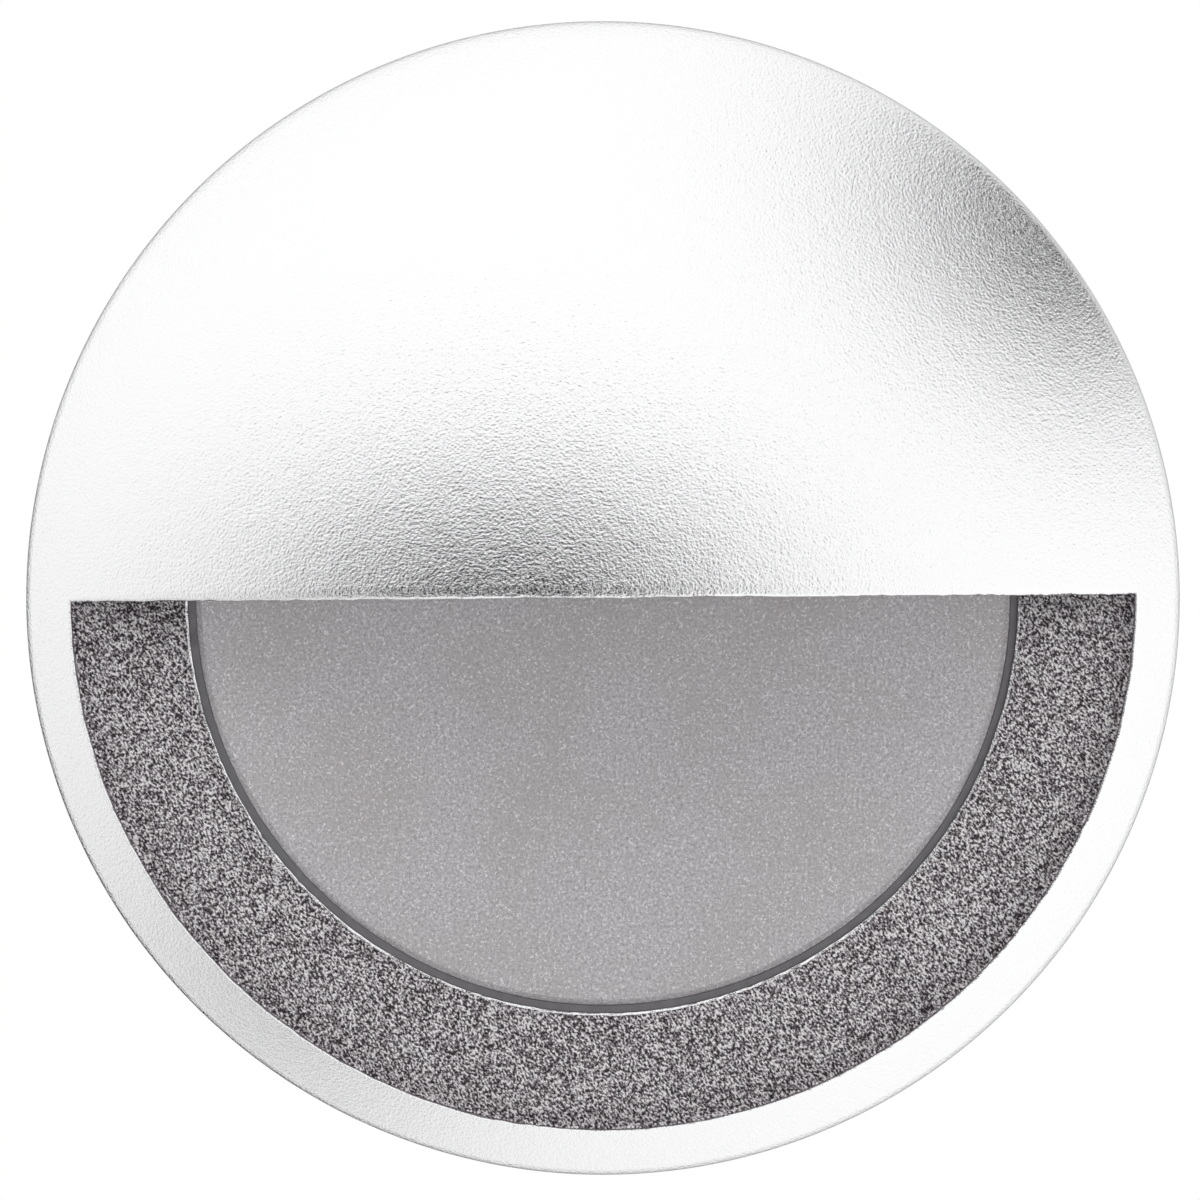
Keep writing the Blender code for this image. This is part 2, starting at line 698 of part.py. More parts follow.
def housing(material):
    """Finned cup with a light chamber in front, a driver chamber behind and a floor between."""
    profile = [
        (0, PARTITION_REAR_Y),
        (CHAMBER_RADIUS, PARTITION_REAR_Y),
        (CHAMBER_RADIUS, HOUSING_REAR_Y),
        (CORE_RADIUS, HOUSING_REAR_Y),
        (CORE_RADIUS, FLANGE_REAR_Y),
        (NECK_RADIUS, FLANGE_REAR_Y),
        (NECK_RADIUS, FLANGE_Y),
        *spigot(SPIGOT_RADIUS, FLANGE_Y, SPIGOT_Y),
        (CHAMBER_RADIUS, SPIGOT_Y),
        (CHAMBER_RADIUS, PARTITION_Y),
        (0, PARTITION_Y),
    ]
    body = turned("housing", profile, BODY_SIDES)
    fin_set = fins()
    cut(fin_set, fin_slope())
    join(body, fin_set)
    starts = [polar(SCREW_CIRCLE, a, FLANGE_REAR_Y) for a in SCREW_ANGLES]
    reach = HOUSING_REAR_Y - FLANGE_REAR_Y
    cut(body, rods("driver_ways", starts, BODY_SCREW_SIZES[2] + DRIVER_CLEARANCE, reach))
    starts = [polar(BOSS_CIRCLE, a, HOUSING_REAR_Y - BOSS_LENGTH) for a in COVER_ANGLES]
    bosses = rods("cover_bosses", starts, BOSS_RADIUS, BOSS_LENGTH)
    chamber = [(0, HOUSING_REAR_Y + CUT), (CHAMBER_RADIUS, HOUSING_REAR_Y + CUT)]
    chamber += [(CHAMBER_RADIUS, PARTITION_REAR_Y), (0, PARTITION_REAR_Y)]
    cut(bosses, turned("boss_trim", chamber, BODY_SIDES))
    join(body, bosses)
    starts = pillar_places(PARTITION_REAR_Y - SINK)
    join(body, rods("pillars", starts, PILLAR_RADIUS, SINK + PILLAR_HEIGHT, SCREW_SIDES))
    clip_seats(body)
    housing_holes(body)
    return made(body, material)


def screw(name, sizes, head_place, direction, material):
    """Round-headed screw with a hex socket. Its head stands out along a direction from a place."""
    shank, length, head, height = sizes
    profile = [
        (0, height),
        (head * (1 + SOCKET_SHARE) / 2, height),
        (head, height / 2),
        (head, 0),
        (shank, 0),
        (shank, -length),
        (0, -length),
    ]
    obj = turned(name, profile, SCREW_SIDES, head_place)
    start = (0, height * (1 - SOCKET_SHARE), 0)
    cut(obj, rods("socket", [start], head * SOCKET_SHARE, height, HEX_SIDES))
    obj.rotation_mode = "XYZ"
    obj.rotation_euler = Y.rotation_difference(direction).to_euler()
    return made(obj, material)


def screw_set(name, sizes, places, direction, material):
    first = screw(f"{name}_1", sizes, places[0], direction, material)
    for i, place in enumerate(places[1:], start=2):
        twin(first, f"{name}_{i}").location = place


def rear_cover(material):
    """Round cover with three screw ears and a spigot that holds an O-ring."""
    bore = GLAND_THREAD_RADIUS + SLIP
    radius = CHAMBER_RADIUS - GAP
    inner = radius - COVER_SPIGOT_WALL
    profile = [
        (bore, COVER_REAR_Y),
        (CORE_RADIUS, COVER_REAR_Y),
        (CORE_RADIUS, COVER_Y),
        *spigot(radius, COVER_Y, COVER_Y - COVER_SPIGOT),
        (inner, COVER_Y - COVER_SPIGOT),
        (inner, COVER_Y),
        (bore, COVER_Y),
    ]
    cover = turned("rear_cover", profile, BODY_SIDES)
    starts = [polar(BOSS_CIRCLE, a, COVER_Y) for a in COVER_ANGLES]
    join(cover, rods("cover_ears", starts, BOSS_RADIUS, COVER_THICKNESS - EAR_STEP))
    starts = [polar(BOSS_CIRCLE, a, COVER_Y - CUT) for a in COVER_ANGLES]
    length = COVER_THICKNESS + 2 * CUT
    cut(cover, rods("cover_holes", starts, COVER_SCREW_SIZES[0] + SLIP, length, SCREW_SIDES))
    return made(cover, material)


def hexagon(name, across_flats, start_y, length):
    return rods(name, [(0, start_y, 0)], across_flats / math.sqrt(3), length, HEX_SIDES)


def gland(body_material, seal_material):
    """Cable gland: threaded body, washer, seal, dome nut and the locknut inside the cover."""
    washer_y = COVER_REAR_Y + GAP
    hex_y = washer_y + GLAND_WASHER + GAP
    collar_y = hex_y + GLAND_HEX
    nut_y = collar_y + GAP
    end_y = COVER_Y - GLAND_STUB
    stub = [
        (0, collar_y + GLAND_COLLAR),
        (GLAND_COLLAR_RADIUS, collar_y + GLAND_COLLAR),
        (GLAND_COLLAR_RADIUS, collar_y - SINK),
        (GLAND_THREAD_RADIUS, collar_y - SINK),
        (GLAND_THREAD_RADIUS, end_y),
        (0, end_y),
    ]
    body = turned("gland_body", stub, SMALL_SIDES)
    join(body, hexagon("gland_hex", GLAND_ACROSS_FLATS, hex_y, GLAND_HEX))
    seal_radius = GLAND_MOUTH_RADIUS - SLIP + GLAND_SEAL_WALL
    seal_y = collar_y + SINK
    way = [
        (0, collar_y + GLAND_COLLAR + CUT),
        (seal_radius + SLIP, collar_y + GLAND_COLLAR + CUT),
        (seal_radius + SLIP, seal_y),
        (GLAND_BORE_RADIUS, seal_y),
        (GLAND_BORE_RADIUS, end_y - CUT),
        (0, end_y - CUT),
    ]
    cut(body, turned("gland_way", way, SMALL_SIDES))
    made(body, body_material)

    mouth = GLAND_MOUTH_RADIUS - SLIP
    seal_end = collar_y + GLAND_COLLAR
    seal = [(seal_radius, seal_end), (seal_radius, seal_y + GAP)]
    seal += [(mouth, seal_y + GAP), (mouth, seal_end)]
    made(turned("gland_seal", seal, SMALL_SIDES), seal_material)

    ring = [(GLAND_ACROSS_FLATS / 2, washer_y + GLAND_WASHER), (GLAND_ACROSS_FLATS / 2, washer_y)]
    ring += [(GLAND_THREAD_RADIUS + SLIP, washer_y)]
    ring += [(GLAND_THREAD_RADIUS + SLIP, washer_y + GLAND_WASHER)]
    made(turned("gland_washer", ring, SMALL_SIDES), seal_material)

    crown_y = nut_y + GLAND_NUT_HEX
    cup = GLAND_COLLAR_RADIUS + SLIP
    rim = cup + GLAND_NUT_WALL
    profile = [
        (0, crown_y + GLAND_DOME),
        *[
            (GLAND_MOUTH_RADIUS + (rim - GLAND_MOUTH_RADIUS) * across, crown_y + GLAND_DOME * up)
            for across, up in arc((0, 0), 1, math.pi / 2, 0, CROWN_RINGS)[1:]
        ],
        (rim, nut_y),
        (0, nut_y),
    ]
    nut = turned("gland_nut", profile, SMALL_SIDES)
    join(nut, hexagon("nut_hex", GLAND_ACROSS_FLATS, nut_y + SINK, GLAND_NUT_HEX - SINK))
    seat_y = seal_end + GAP
    bore = [
        (0, crown_y + GLAND_DOME + CUT),
        (GLAND_MOUTH_RADIUS, crown_y + GLAND_DOME + CUT),
        (GLAND_MOUTH_RADIUS, seat_y + GLAND_NUT_WALL),
        (cup, seat_y),
        (cup, nut_y - CUT),
        (0, nut_y - CUT),
    ]
    cut(nut, turned("nut_bore", bore, SMALL_SIDES))
    made(nut, body_material)

    locknut_y = COVER_Y - GAP - LOCKNUT
    locknut = hexagon("gland_locknut", GLAND_ACROSS_FLATS, locknut_y, LOCKNUT)
    start = (0, locknut_y - CUT, 0)
    hole = rods("locknut_hole", [start], GLAND_THREAD_RADIUS + SLIP, LOCKNUT + 2 * CUT)
    cut(locknut, hole)
    made(locknut, body_material)


def lead_notch(name, depth, length):
    """Room at a board's upper edge for the two leads and their grommet."""
    return rods(name, [(0, depth - CUT, LEAD_HOLE_Z)], GROMMET_FLANGE + GAP, length + 2 * CUT)


def disc(name, radius, depth, thickness, notch):
    """Flat round board or pad on the partition, with screw holes and a notch for the leads."""
    profile = [(0, depth + thickness), (radius, depth + thickness), (radius, depth), (0, depth)]
    obj = turned(name, profile, BODY_SIDES)
    starts = led_screw_places(depth - CUT)
    holes = f"{name}_holes"
    cut(obj, rods(holes, starts, BOARD_SCREW_SIZES[0] + SLIP, thickness + 2 * CUT, SCREW_SIDES))
    return cut(obj, lead_notch(notch, depth, thickness))


def light_engine(finishes):
    """Thermal pad, metal-core board, LEDs and their screws, and the white reflector cup."""
    pad = disc("thermal_pad", LED_BOARD_RADIUS, PAD_Y, PAD_THICKNESS, "pad_notch")
    made(pad, finishes["pad"])
    board = disc("led_board", LED_BOARD_RADIUS, LED_BOARD_Y, BOARD_THICKNESS, "board_notch")
    made(board, finishes["white board"])
    head_y = LED_BOARD_Y - GAP
    places = led_screw_places(head_y)
    screw_set("led_board_screw", BOARD_SCREW_SIZES, places, -Y, finishes["steel"])
    case_y = head_y - LED_HEIGHT
    size = (LED_SIDE, LED_HEIGHT, LED_SIDE)
    led = block("led_1", size, (0, LED_HEIGHT / 2, 0))
    lens = [(0, LED_HEIGHT / 2)]
    lens += [
        (LED_LENS_RADIUS * across, -LED_LENS_RADIUS * up * LED_LENS_SHARE)
        for across, up in arc((0, 0), 1, 0, math.pi / 2, LENS_RINGS)[:-1]
    ]
    lens.insert(1, (LED_LENS_RADIUS, LED_HEIGHT / 2))
    lens.append((0, -LED_LENS_RADIUS * LED_LENS_SHARE))
    join(led, turned("led_lens", lens, SCREW_SIDES))
    made(led, finishes["led"])
    for i in range(LED_COUNT):
        angle = math.pi / 2 + 2 * math.pi * i / LED_COUNT
        place = polar(LED_CIRCLE_RADIUS, angle, case_y)
        (led if i == 0 else twin(led, f"led_{i + 1}")).location = place

    outer = CHAMBER_RADIUS - GAP
    front = SPIGOT_Y + GAP
    rim_rear = front + REFLECTOR_RIM
    throat = CHAMBER_RADIUS * REFLECTOR_THROAT_SHARE
    profile = [
        (throat + REFLECTOR_WALL, head_y),
        (outer - REFLECTOR_WALL, rim_rear),
        (outer, rim_rear),
        (outer, front),
        (outer - 2 * REFLECTOR_WALL, front),
        (throat, head_y),
    ]
    made(turned("reflector", profile, BODY_SIDES), finishes["white"])


def driver(finishes):
    """Round driver board on three pillars, with the parts that stand on it."""
    radius = DRIVER_BOARD_RADIUS
    profile = [(0, DRIVER_TOP_Y), (radius, DRIVER_TOP_Y), (radius, DRIVER_BOARD_Y)]
    board = turned("driver_board", profile + [(0, DRIVER_BOARD_Y)], BODY_SIDES)
    starts = pillar_places(DRIVER_BOARD_Y - CUT)
    length = BOARD_THICKNESS + 2 * CUT
    cut(board, rods("driver_holes", starts, BOARD_SCREW_SIZES[0] + SLIP, length, SCREW_SIDES))
    corner_x, corner_z = (radius * share for share in DRIVER_CORNER_SHARE)
    middle = (corner_x + radius / 2, DRIVER_BOARD_Y, -corner_z - radius / 2)
    cut(board, block("driver_corner", (radius, length + CUT, radius), middle))
    made(board, finishes["green board"])
    head_y = DRIVER_TOP_Y + GAP
    screw_set("driver_screw", BOARD_SCREW_SIZES, pillar_places(head_y), Y, finishes["steel"])

    def place(shares):
        return (radius * shares[0], head_y, radius * shares[1])

    width, depth = (radius * share for share in TRANSFORMER_SHARES)
    height = TRANSFORMER_HEIGHT
    core = block("transformer_core", (width, height, depth), (0, height / 2, 0))
    window = (width - 2 * CORE_LIMB, height - 2 * CORE_LIMB, depth + 2 * CUT)
    cut(core, block("core_window", window, (0, height / 2, 0)))
    core.location = place(TRANSFORMER_PLACE_SHARE)
    made(core, finishes["ferrite"])
    flange = (window[0] - 2 * GAP, CORE_LIMB / 2, depth + CORE_LIMB)
    barrel = window[1] - 2 * GAP
    middle = (0, height / 2, 0)
    winding_radius = window[0] * WINDING_LENGTH_SHARE - GAP
    start = (0, (height - barrel) / 2, 0)
    winding = rods("transformer_winding", [start], winding_radius, barrel)
    for share in (-1, 1):
        offset = share * (barrel - flange[1]) / 2
        spot = (0, height / 2 + offset, 0)
        join(winding, block("bobbin_flange", flange, spot))
    winding.location = core.location
    made(winding, finishes["winding"])

    can = radius * CAPACITOR_RADIUS_SHARE
    crimp = CAPACITOR_CRIMP
    profile = [
        (0, CAPACITOR_HEIGHT),
        (can - crimp, CAPACITOR_HEIGHT),
        (can, CAPACITOR_HEIGHT - crimp),
        (can, CAPACITOR_GROOVE + crimp),
        (can - crimp, CAPACITOR_GROOVE),
        (can, CAPACITOR_GROOVE - crimp),
        (can, 0),
        (0, 0),
    ]
    where = place(CAPACITOR_PLACE_SHARE)
    made(turned("smoothing_capacitor", profile, SMALL_SIDES, where), finishes["sleeve"])
    width, depth = (radius * share for share in CHIP_SHARES)
    chip = block("driver_chip", (width, CHIP_HEIGHT, depth), (0, CHIP_HEIGHT / 2, 0))
    chip.modifiers.new("Edges", "BEVEL").width = CHIP_BEVEL
    chip.modifiers["Edges"].segments = 1
    chip.location = place(CHIP_PLACE_SHARE)
    made(chip, finishes["black"])
    tube, length = radius * FUSE_RADIUS_SHARE, radius * FUSE_LENGTH_SHARE
    fuse = rods("fuse", [(0, tube, -length / 2)], tube, length, SCREW_SIDES, Z)
    fuse.location = place(FUSE_PLACE_SHARE)
    made(fuse, finishes["ceramic"])
    terminal_block(place(TERMINAL_PLACE_SHARE), finishes)


def terminal_block(where, finishes):
    """Three-pole screw terminal with its entries on the lower side."""
    depth = DRIVER_BOARD_RADIUS * TERMINAL_DEPTH_SHARE
    size = (TERMINAL_WIDTH, TERMINAL_HEIGHT, depth)
    body = block("terminal_block", size, (0, TERMINAL_HEIGHT / 2, 0))
    poles = [TERMINAL_PITCH * (i - (TERMINAL_COUNT - 1) / 2) for i in range(TERMINAL_COUNT)]
    entry_y = TERMINAL_HEIGHT * TERMINAL_ENTRY_SHARE
    starts = [(x, entry_y, -depth / 2 - CUT) for x in poles]
    entry = TERMINAL_PITCH * TERMINAL_ENTRY_RADIUS_SHARE
    cut(body, rods("wire_entries", starts, entry, depth / 2, SCREW_SIDES, Z))
    shank, head = (TERMINAL_PITCH * share for share in TERMINAL_SCREW_SHARES)
    length, height = TERMINAL_SCREW_LENGTH, TERMINAL_SCREW_HEAD
    head_y = TERMINAL_HEIGHT - TERMINAL_SCREW_SUNK - height
    starts = [(x, head_y - GAP, 0) for x in poles]
    cut(body, rods("screw_wells", starts, head + SLIP, TERMINAL_HEIGHT, SCREW_SIDES))
    starts = [(x, head_y - length - GAP, 0) for x in poles]
    cut(body, rods("screw_threads", starts, shank + SLIP, length + CUT, SCREW_SIDES))
    body.location = where
    made(body, finishes["black"])
    places = [Vector(where) + Vector((x, head_y, 0)) for x in poles]
    screw_set("terminal_screw", (shank, length, head, height), places, Y, finishes["steel"])


def bend(corner, incoming, outgoing, radius):
    """Points of a round bend at a corner, between a way in and a way out at right angles."""
    incoming, outgoing = Vector(incoming), Vector(outgoing)
    centre = Vector(corner) - incoming * radius + outgoing * radius
    points = []
    for i in range(BEND_POINTS + 1):
        angle = math.pi / 2 * i / BEND_POINTS
        across, along = radius * math.cos(angle), radius * math.sin(angle)
        points.append(centre - outgoing * across + incoming * along)
    return points


def leads(finishes):
    """Two leads from the driver board's front, through the grommet, to pads on the LED board."""
    pad_z = LEAD_HOLE_Z - LEAD_PAD_INSET
    turn_y = LED_BOARD_Y - GAP - LEAD_STRAIGHT - LEAD_BEND
    for name, side in (("led_lead_red", -1), ("led_lead_black", 1)):
        x = side * LEAD_SPREAD
        points = [Vector((x, LED_BOARD_Y - GAP, pad_z))]
        points += bend((x, turn_y, pad_z), -Y, Z, LEAD_BEND)
        points += bend((x, turn_y, LEAD_HOLE_Z), Z, Y, LEAD_BEND)
        points += [Vector((x, PARTITION_Y + PARTITION / 2, LEAD_HOLE_Z))]
        points += [Vector((x, DRIVER_BOARD_Y - GAP, LEAD_HOLE_Z))]
        made(wire(name, points, LEAD_RADIUS), finishes["red" if side < 0 else "black"])
    waist = GROMMET_BARREL
    front, rear = PARTITION_Y - GAP, PARTITION_REAR_Y + GAP
    profile = [
        (GROMMET_BORE, rear + GROMMET_LIP),
        (GROMMET_FLANGE, rear + GROMMET_LIP),
        (GROMMET_FLANGE, rear),
        (waist, rear),
        (waist, front),
        (GROMMET_FLANGE, front),
        (GROMMET_FLANGE, front - GROMMET_LIP),
        (GROMMET_BORE, front - GROMMET_LIP),
    ]
    grommet = turned("lead_grommet", profile, SMALL_SIDES, (0, 0, LEAD_HOLE_Z))
    made(grommet, finishes["rubber"])


def earth(finishes):
    """Earth lug under its screw on the partition, and the lead to it from the terminal block."""
    spot = earth_place(PARTITION_REAR_Y + GAP)
    lug = rods("earth_lug", [(0, 0, 0)], LUG_RADIUS, LUG_THICKNESS, SMALL_SIDES)
    size = (LUG_TAIL, LUG_THICKNESS / 2, LUG_TAIL_WIDTH)
    middle = (LUG_RADIUS + LUG_TAIL / 2 - SINK, LUG_THICKNESS / 4, 0)
    join(lug, block("lug_tail", size, middle, radial(EARTH_TAIL_ANGLE)))
    start = (0, -CUT, 0)
    through = LUG_THICKNESS + 2 * CUT
    cut(lug, rods("lug_hole", [start], BOARD_SCREW_SIZES[0] + SLIP, through, SCREW_SIDES))
    lug.location = spot
    made(lug, finishes["steel"])
    head_place = spot + Y * (LUG_THICKNESS + GAP)
    screw("earth_screw", BOARD_SCREW_SIZES, head_place, Y, finishes["brass"])

    end = spot + polar(LUG_RADIUS + LUG_TAIL / 2, EARTH_TAIL_ANGLE, LUG_THICKNESS / 2 + GAP)
    radius = DRIVER_BOARD_RADIUS
    side_x = radius * TERMINAL_PLACE_SHARE[0] + TERMINAL_WIDTH / 2 + GAP
    side_y = DRIVER_TOP_Y + GAP + TERMINAL_HEIGHT * TERMINAL_ENTRY_SHARE
    start = Vector((side_x, side_y, end.z))
    points = [start, *bend((end.x, side_y, end.z), X, -Y, LEAD_BEND), end]
    made(wire("earth_lead", points, LEAD_RADIUS), finishes["green"])


def clip_bracket(material):
    """U-shaped bracket with a low kerb in front and two tall cheeks that hold the pin."""
    front = CLIP_SCREW_Y - BRACKET_FRONT
    rear = PIVOT_Y + BRACKET_REAR
    bottom = FLAT_X + GAP
    top = PIVOT_X + BRACKET_CHEEK_TOP
    half = BRACKET_HALF_WIDTH
    size = (top - bottom, rear - front, 2 * half)
    middle = Vector(((top + bottom) / 2, (rear + front) / 2, 0))
    bracket = block("clip_bracket_right", size, middle)
    inside = (top, rear - front + 2 * CUT, 2 * (half - SHEET))
    spot = (BRACKET_TOP_X + top / 2, middle.y, 0)
    cut(bracket, block("channel", inside, spot))
    kerb_x = BRACKET_TOP_X + BRACKET_KERB
    cheek_y = PIVOT_Y - BRACKET_CHEEK
    size = (top, cheek_y - front + CUT, 2 * (half + CUT))
    spot = (kerb_x + top / 2, (cheek_y + front - CUT) / 2, 0)
    cut(bracket, block("low_front", size, spot))
    corner = BRACKET_ROUND
    for y, way in ((cheek_y, 1), (rear, -1)):
        edge = block("corner_square", (2 * corner, 2 * corner, 2 * (half + CUT)), (top, y, 0))
        centre = (top - corner, y + way * corner, -half - 2 * CUT)
        round_length = 2 * (half + 2 * CUT)
        cut(edge, rods("corner_round", [centre], corner, round_length, SMALL_SIDES, Z))
        cut(bracket, edge)
    start = (PIVOT_X, PIVOT_Y, -half - CUT)
    pin_hole = PIN_RADIUS + SLIP
    length = 2 * (half + CUT)
    cut(bracket, rods("pin_hole", [start], pin_hole, length, SCREW_SIDES, Z))
    start = (bottom - CUT, CLIP_SCREW_Y, 0)
    reach = SHEET + 2 * CUT
    cut(bracket, rods("screw_hole", [start], CLIP_SCREW_SIZES[0] + SLIP, reach, SCREW_SIDES, X))
    start = (bottom - CUT, PIVOT_Y + PEG_SETBACK, 0)
    cut(bracket, rods("peg_hole", [start], PEG_RADIUS + SLIP, reach, SCREW_SIDES, X))
    start = spring_ends()[0]
    start = (bottom - CUT, start.y, start.z)
    cut(bracket, rods("leg_hole", [start], SPRING_WIRE + SLIP, reach, SCREW_SIDES, X))
    return made(bracket, material)


def clip_pin(material):
    """Pin with a head at both ends, the second one peened."""
    half = BRACKET_HALF_WIDTH + GAP
    head = PIN_HEAD_RADIUS
    edge = half + PIN_HEAD
    round_y = edge - PIN_HEAD / 2
    profile = [
        (0, edge),
        (head * PIN_FACE_SHARE, edge),
        (head, round_y),
        (head, half),
        (PIN_RADIUS, half),
        (PIN_RADIUS, -half),
        (head, -half),
        (head, -round_y),
        (head * PIN_FACE_SHARE, -edge),
        (0, -edge),
    ]
    pin = turned("clip_pin_right", profile, SCREW_SIDES, (PIVOT_X, PIVOT_Y, 0))
    pin.rotation_euler = (math.pi / 2, 0, 0)
    return made(pin, material)


def clip_wing(material):
    """Sheet-steel wing: a channel with cheeks on the pin, flanges that taper and a foot at the tip.

    In its own frame X points away from the housing, the tip is along -Y, and the pin is the origin.
    """
    half = WING_HALF_WIDTH
    bottom, top = -WING_CHEEK_REACH, WING_OUTSIDE
    rear, tip = WING_HEEL, -WING_LENGTH
    size = (top - bottom, rear - tip, 2 * half)
    wing = block("clip_wing_right", size, ((top + bottom) / 2, (rear + tip) / 2, 0))
    inner_half = half - WING_SHEET
    length = rear - WING_SHEET - tip + CUT
    size = (2 * top, length, 2 * inner_half)
    cut(wing, block("wing_channel", size, (WING_INSIDE - top, tip - CUT + length / 2, 0)))
    reach = 2 * (half + CUT)
    flange_x = WING_INSIDE - WING_FLANGE
    low = block("flange_cut", (2 * top, length, reach), (flange_x - top, 0, 0))
    low.location.y = -WING_CHEEK_FRONT - length / 2
    cut(wing, low)
    taper_length = WING_LENGTH - WING_TAPER + CUT
    taper = block("taper_cut", (2 * top, taper_length, reach), (WING_INSIDE - top, 0, 0))
    taper.location.y = tip - CUT + taper_length / 2
    cut(wing, taper)
    radius = WING_HEEL_ROUND
    heel = block("heel_square", (2 * radius, 2 * radius, reach), (bottom, rear, 0))
    centre = (bottom + radius, rear - radius, -reach)
    cut(heel, rods("heel_round", [centre], radius, 2 * reach, SMALL_SIDES, Z))
    cut(wing, heel)
    toe = block("toe_square", (2 * radius, 2 * radius, reach), (bottom, -WING_CHEEK_FRONT, 0))
    centre = (bottom + radius, radius - WING_CHEEK_FRONT, -reach)
    cut(toe, rods("toe_round", [centre], radius, 2 * reach, SMALL_SIDES, Z))
    cut(wing, toe)
    foot = (WING_SHEET + WING_FOOT, WING_SHEET, 2 * half)
    spot = (WING_INSIDE + foot[0] / 2, tip + WING_SHEET / 2, 0)
    join(wing, block("foot", foot, spot))
    start = (0, 0, -reach)
    cut(wing, rods("wing_pin_hole", [start], PIN_RADIUS + SLIP, 2 * reach, SCREW_SIDES, Z))
    start = (WING_INSIDE - CUT, -PIVOT_SETBACK, 0)
    thick = WING_SHEET + 2 * CUT
    cut(wing, rods("driver_hole", [start], WING_HOLE_RADIUS, thick, SMALL_SIDES, X))
    end = spring_ends()[1]
    start = (WING_INSIDE - CUT, end.y, end.z)
    cut(wing, rods("wing_leg_hole", [start], SPRING_WIRE + SLIP, thick, SCREW_SIDES, X))
    wing.location = (PIVOT_X, PIVOT_Y, 0)
    wing.rotation_euler = (0, 0, WING_OPEN_ANGLE)
    return made(wing, material)


def spring_ends():
    """Where the legs turn outwards: in world coordinates on the bracket, then in the wing's."""
    half = SPRING_PITCH * spring_turns() / 2
    leg = Vector((-SPRING_RADIUS, -SPRING_LEG, -half))
    return leg + Vector((PIVOT_X, PIVOT_Y, 0)), Vector((SPRING_RADIUS, -SPRING_LEG, half))


def spring_turns():
    """Turns from the wing's leg, on the outer side, to the bracket's leg, on the inner side."""
    return SPRING_CURLS + 0.5 - WING_OPEN_ANGLE / (2 * math.pi)


def spring_points():
    """Middle line of the spring about the pivot: a leg, a helix about Z and the other leg.

    A leg leaves the coil on a tangent, runs forwards, and its end turns square into the sheet.
    """
    turns = spring_turns()
    half = SPRING_PITCH * turns / 2
    wing_turn = Matrix.Rotation(WING_OPEN_ANGLE, 3, "Z")
    base_x = BRACKET_TOP_X - PIVOT_X
    end = Vector((WING_OUTSIDE - SPRING_END_CLEARANCE, -SPRING_LEG, half))
    corner = Vector((SPRING_RADIUS, -SPRING_LEG, half))
    leg = [end, *bend(corner, -X, Y, SPRING_BEND)]
    points = [wing_turn @ p for p in leg]
    count = round(turns * CURL_POINTS)
    for i in range(count + 1):
        angle = WING_OPEN_ANGLE + 2 * math.pi * turns * i / count
        points.append(
            Vector(
                (
                    SPRING_RADIUS * math.cos(angle),
                    SPRING_RADIUS * math.sin(angle),
                    half - SPRING_PITCH * turns * i / count,
                )
            )
        )
    corner = Vector((-SPRING_RADIUS, -SPRING_LEG, -half))
    points += bend(corner, -Y, -X, SPRING_BEND)
    points.append(Vector((base_x - SHEET + SPRING_END_CLEARANCE, -SPRING_LEG, -half)))
    return points


def least_gap(points, radius):
    """The least gap from a wire to itself, between points over half a curl apart along it."""
    apart = CURL_POINTS // 2
    pairs = ((a, b) for i, a in enumerate(points) for b in points[i + apart :])
    return min((a - b).length for a, b in pairs) - 2 * radius


def clip_spring(material):
    points = spring_points()
    gap = least_gap(points, SPRING_WIRE)
    print(f"clip spring: least gap to itself {gap * 1000:.2f} mm")
    spring = wire("clip_spring_right", points, SPRING_WIRE)
    spring.location = (PIVOT_X, PIVOT_Y, 0)
    return made(spring, material)


def clips(finishes):
    """The right clip, and the left one as the same pieces turned half round the body's axis."""
    steel = finishes["steel"]
    head_place = (BRACKET_TOP_X + GAP, CLIP_SCREW_Y, 0)
    right = [
        clip_bracket(steel),
        clip_pin(steel),
        clip_wing(finishes["spring steel"]),
        clip_spring(finishes["spring steel"]),
        screw("clip_screw_right", CLIP_SCREW_SIZES, head_place, X, steel),
    ]
    for side, angle in zip(("right", "left"), CLIP_ANGLES):
        carrier = bpy.data.objects.new(f"clip_{side}", None)
        PARTS.objects.link(carrier)
        carrier.rotation_euler = (0, angle, 0)
        for piece in right:
            if side == "right":
                piece.parent = carrier
            else:
                twin(piece, piece.name.replace("right", side), carrier)


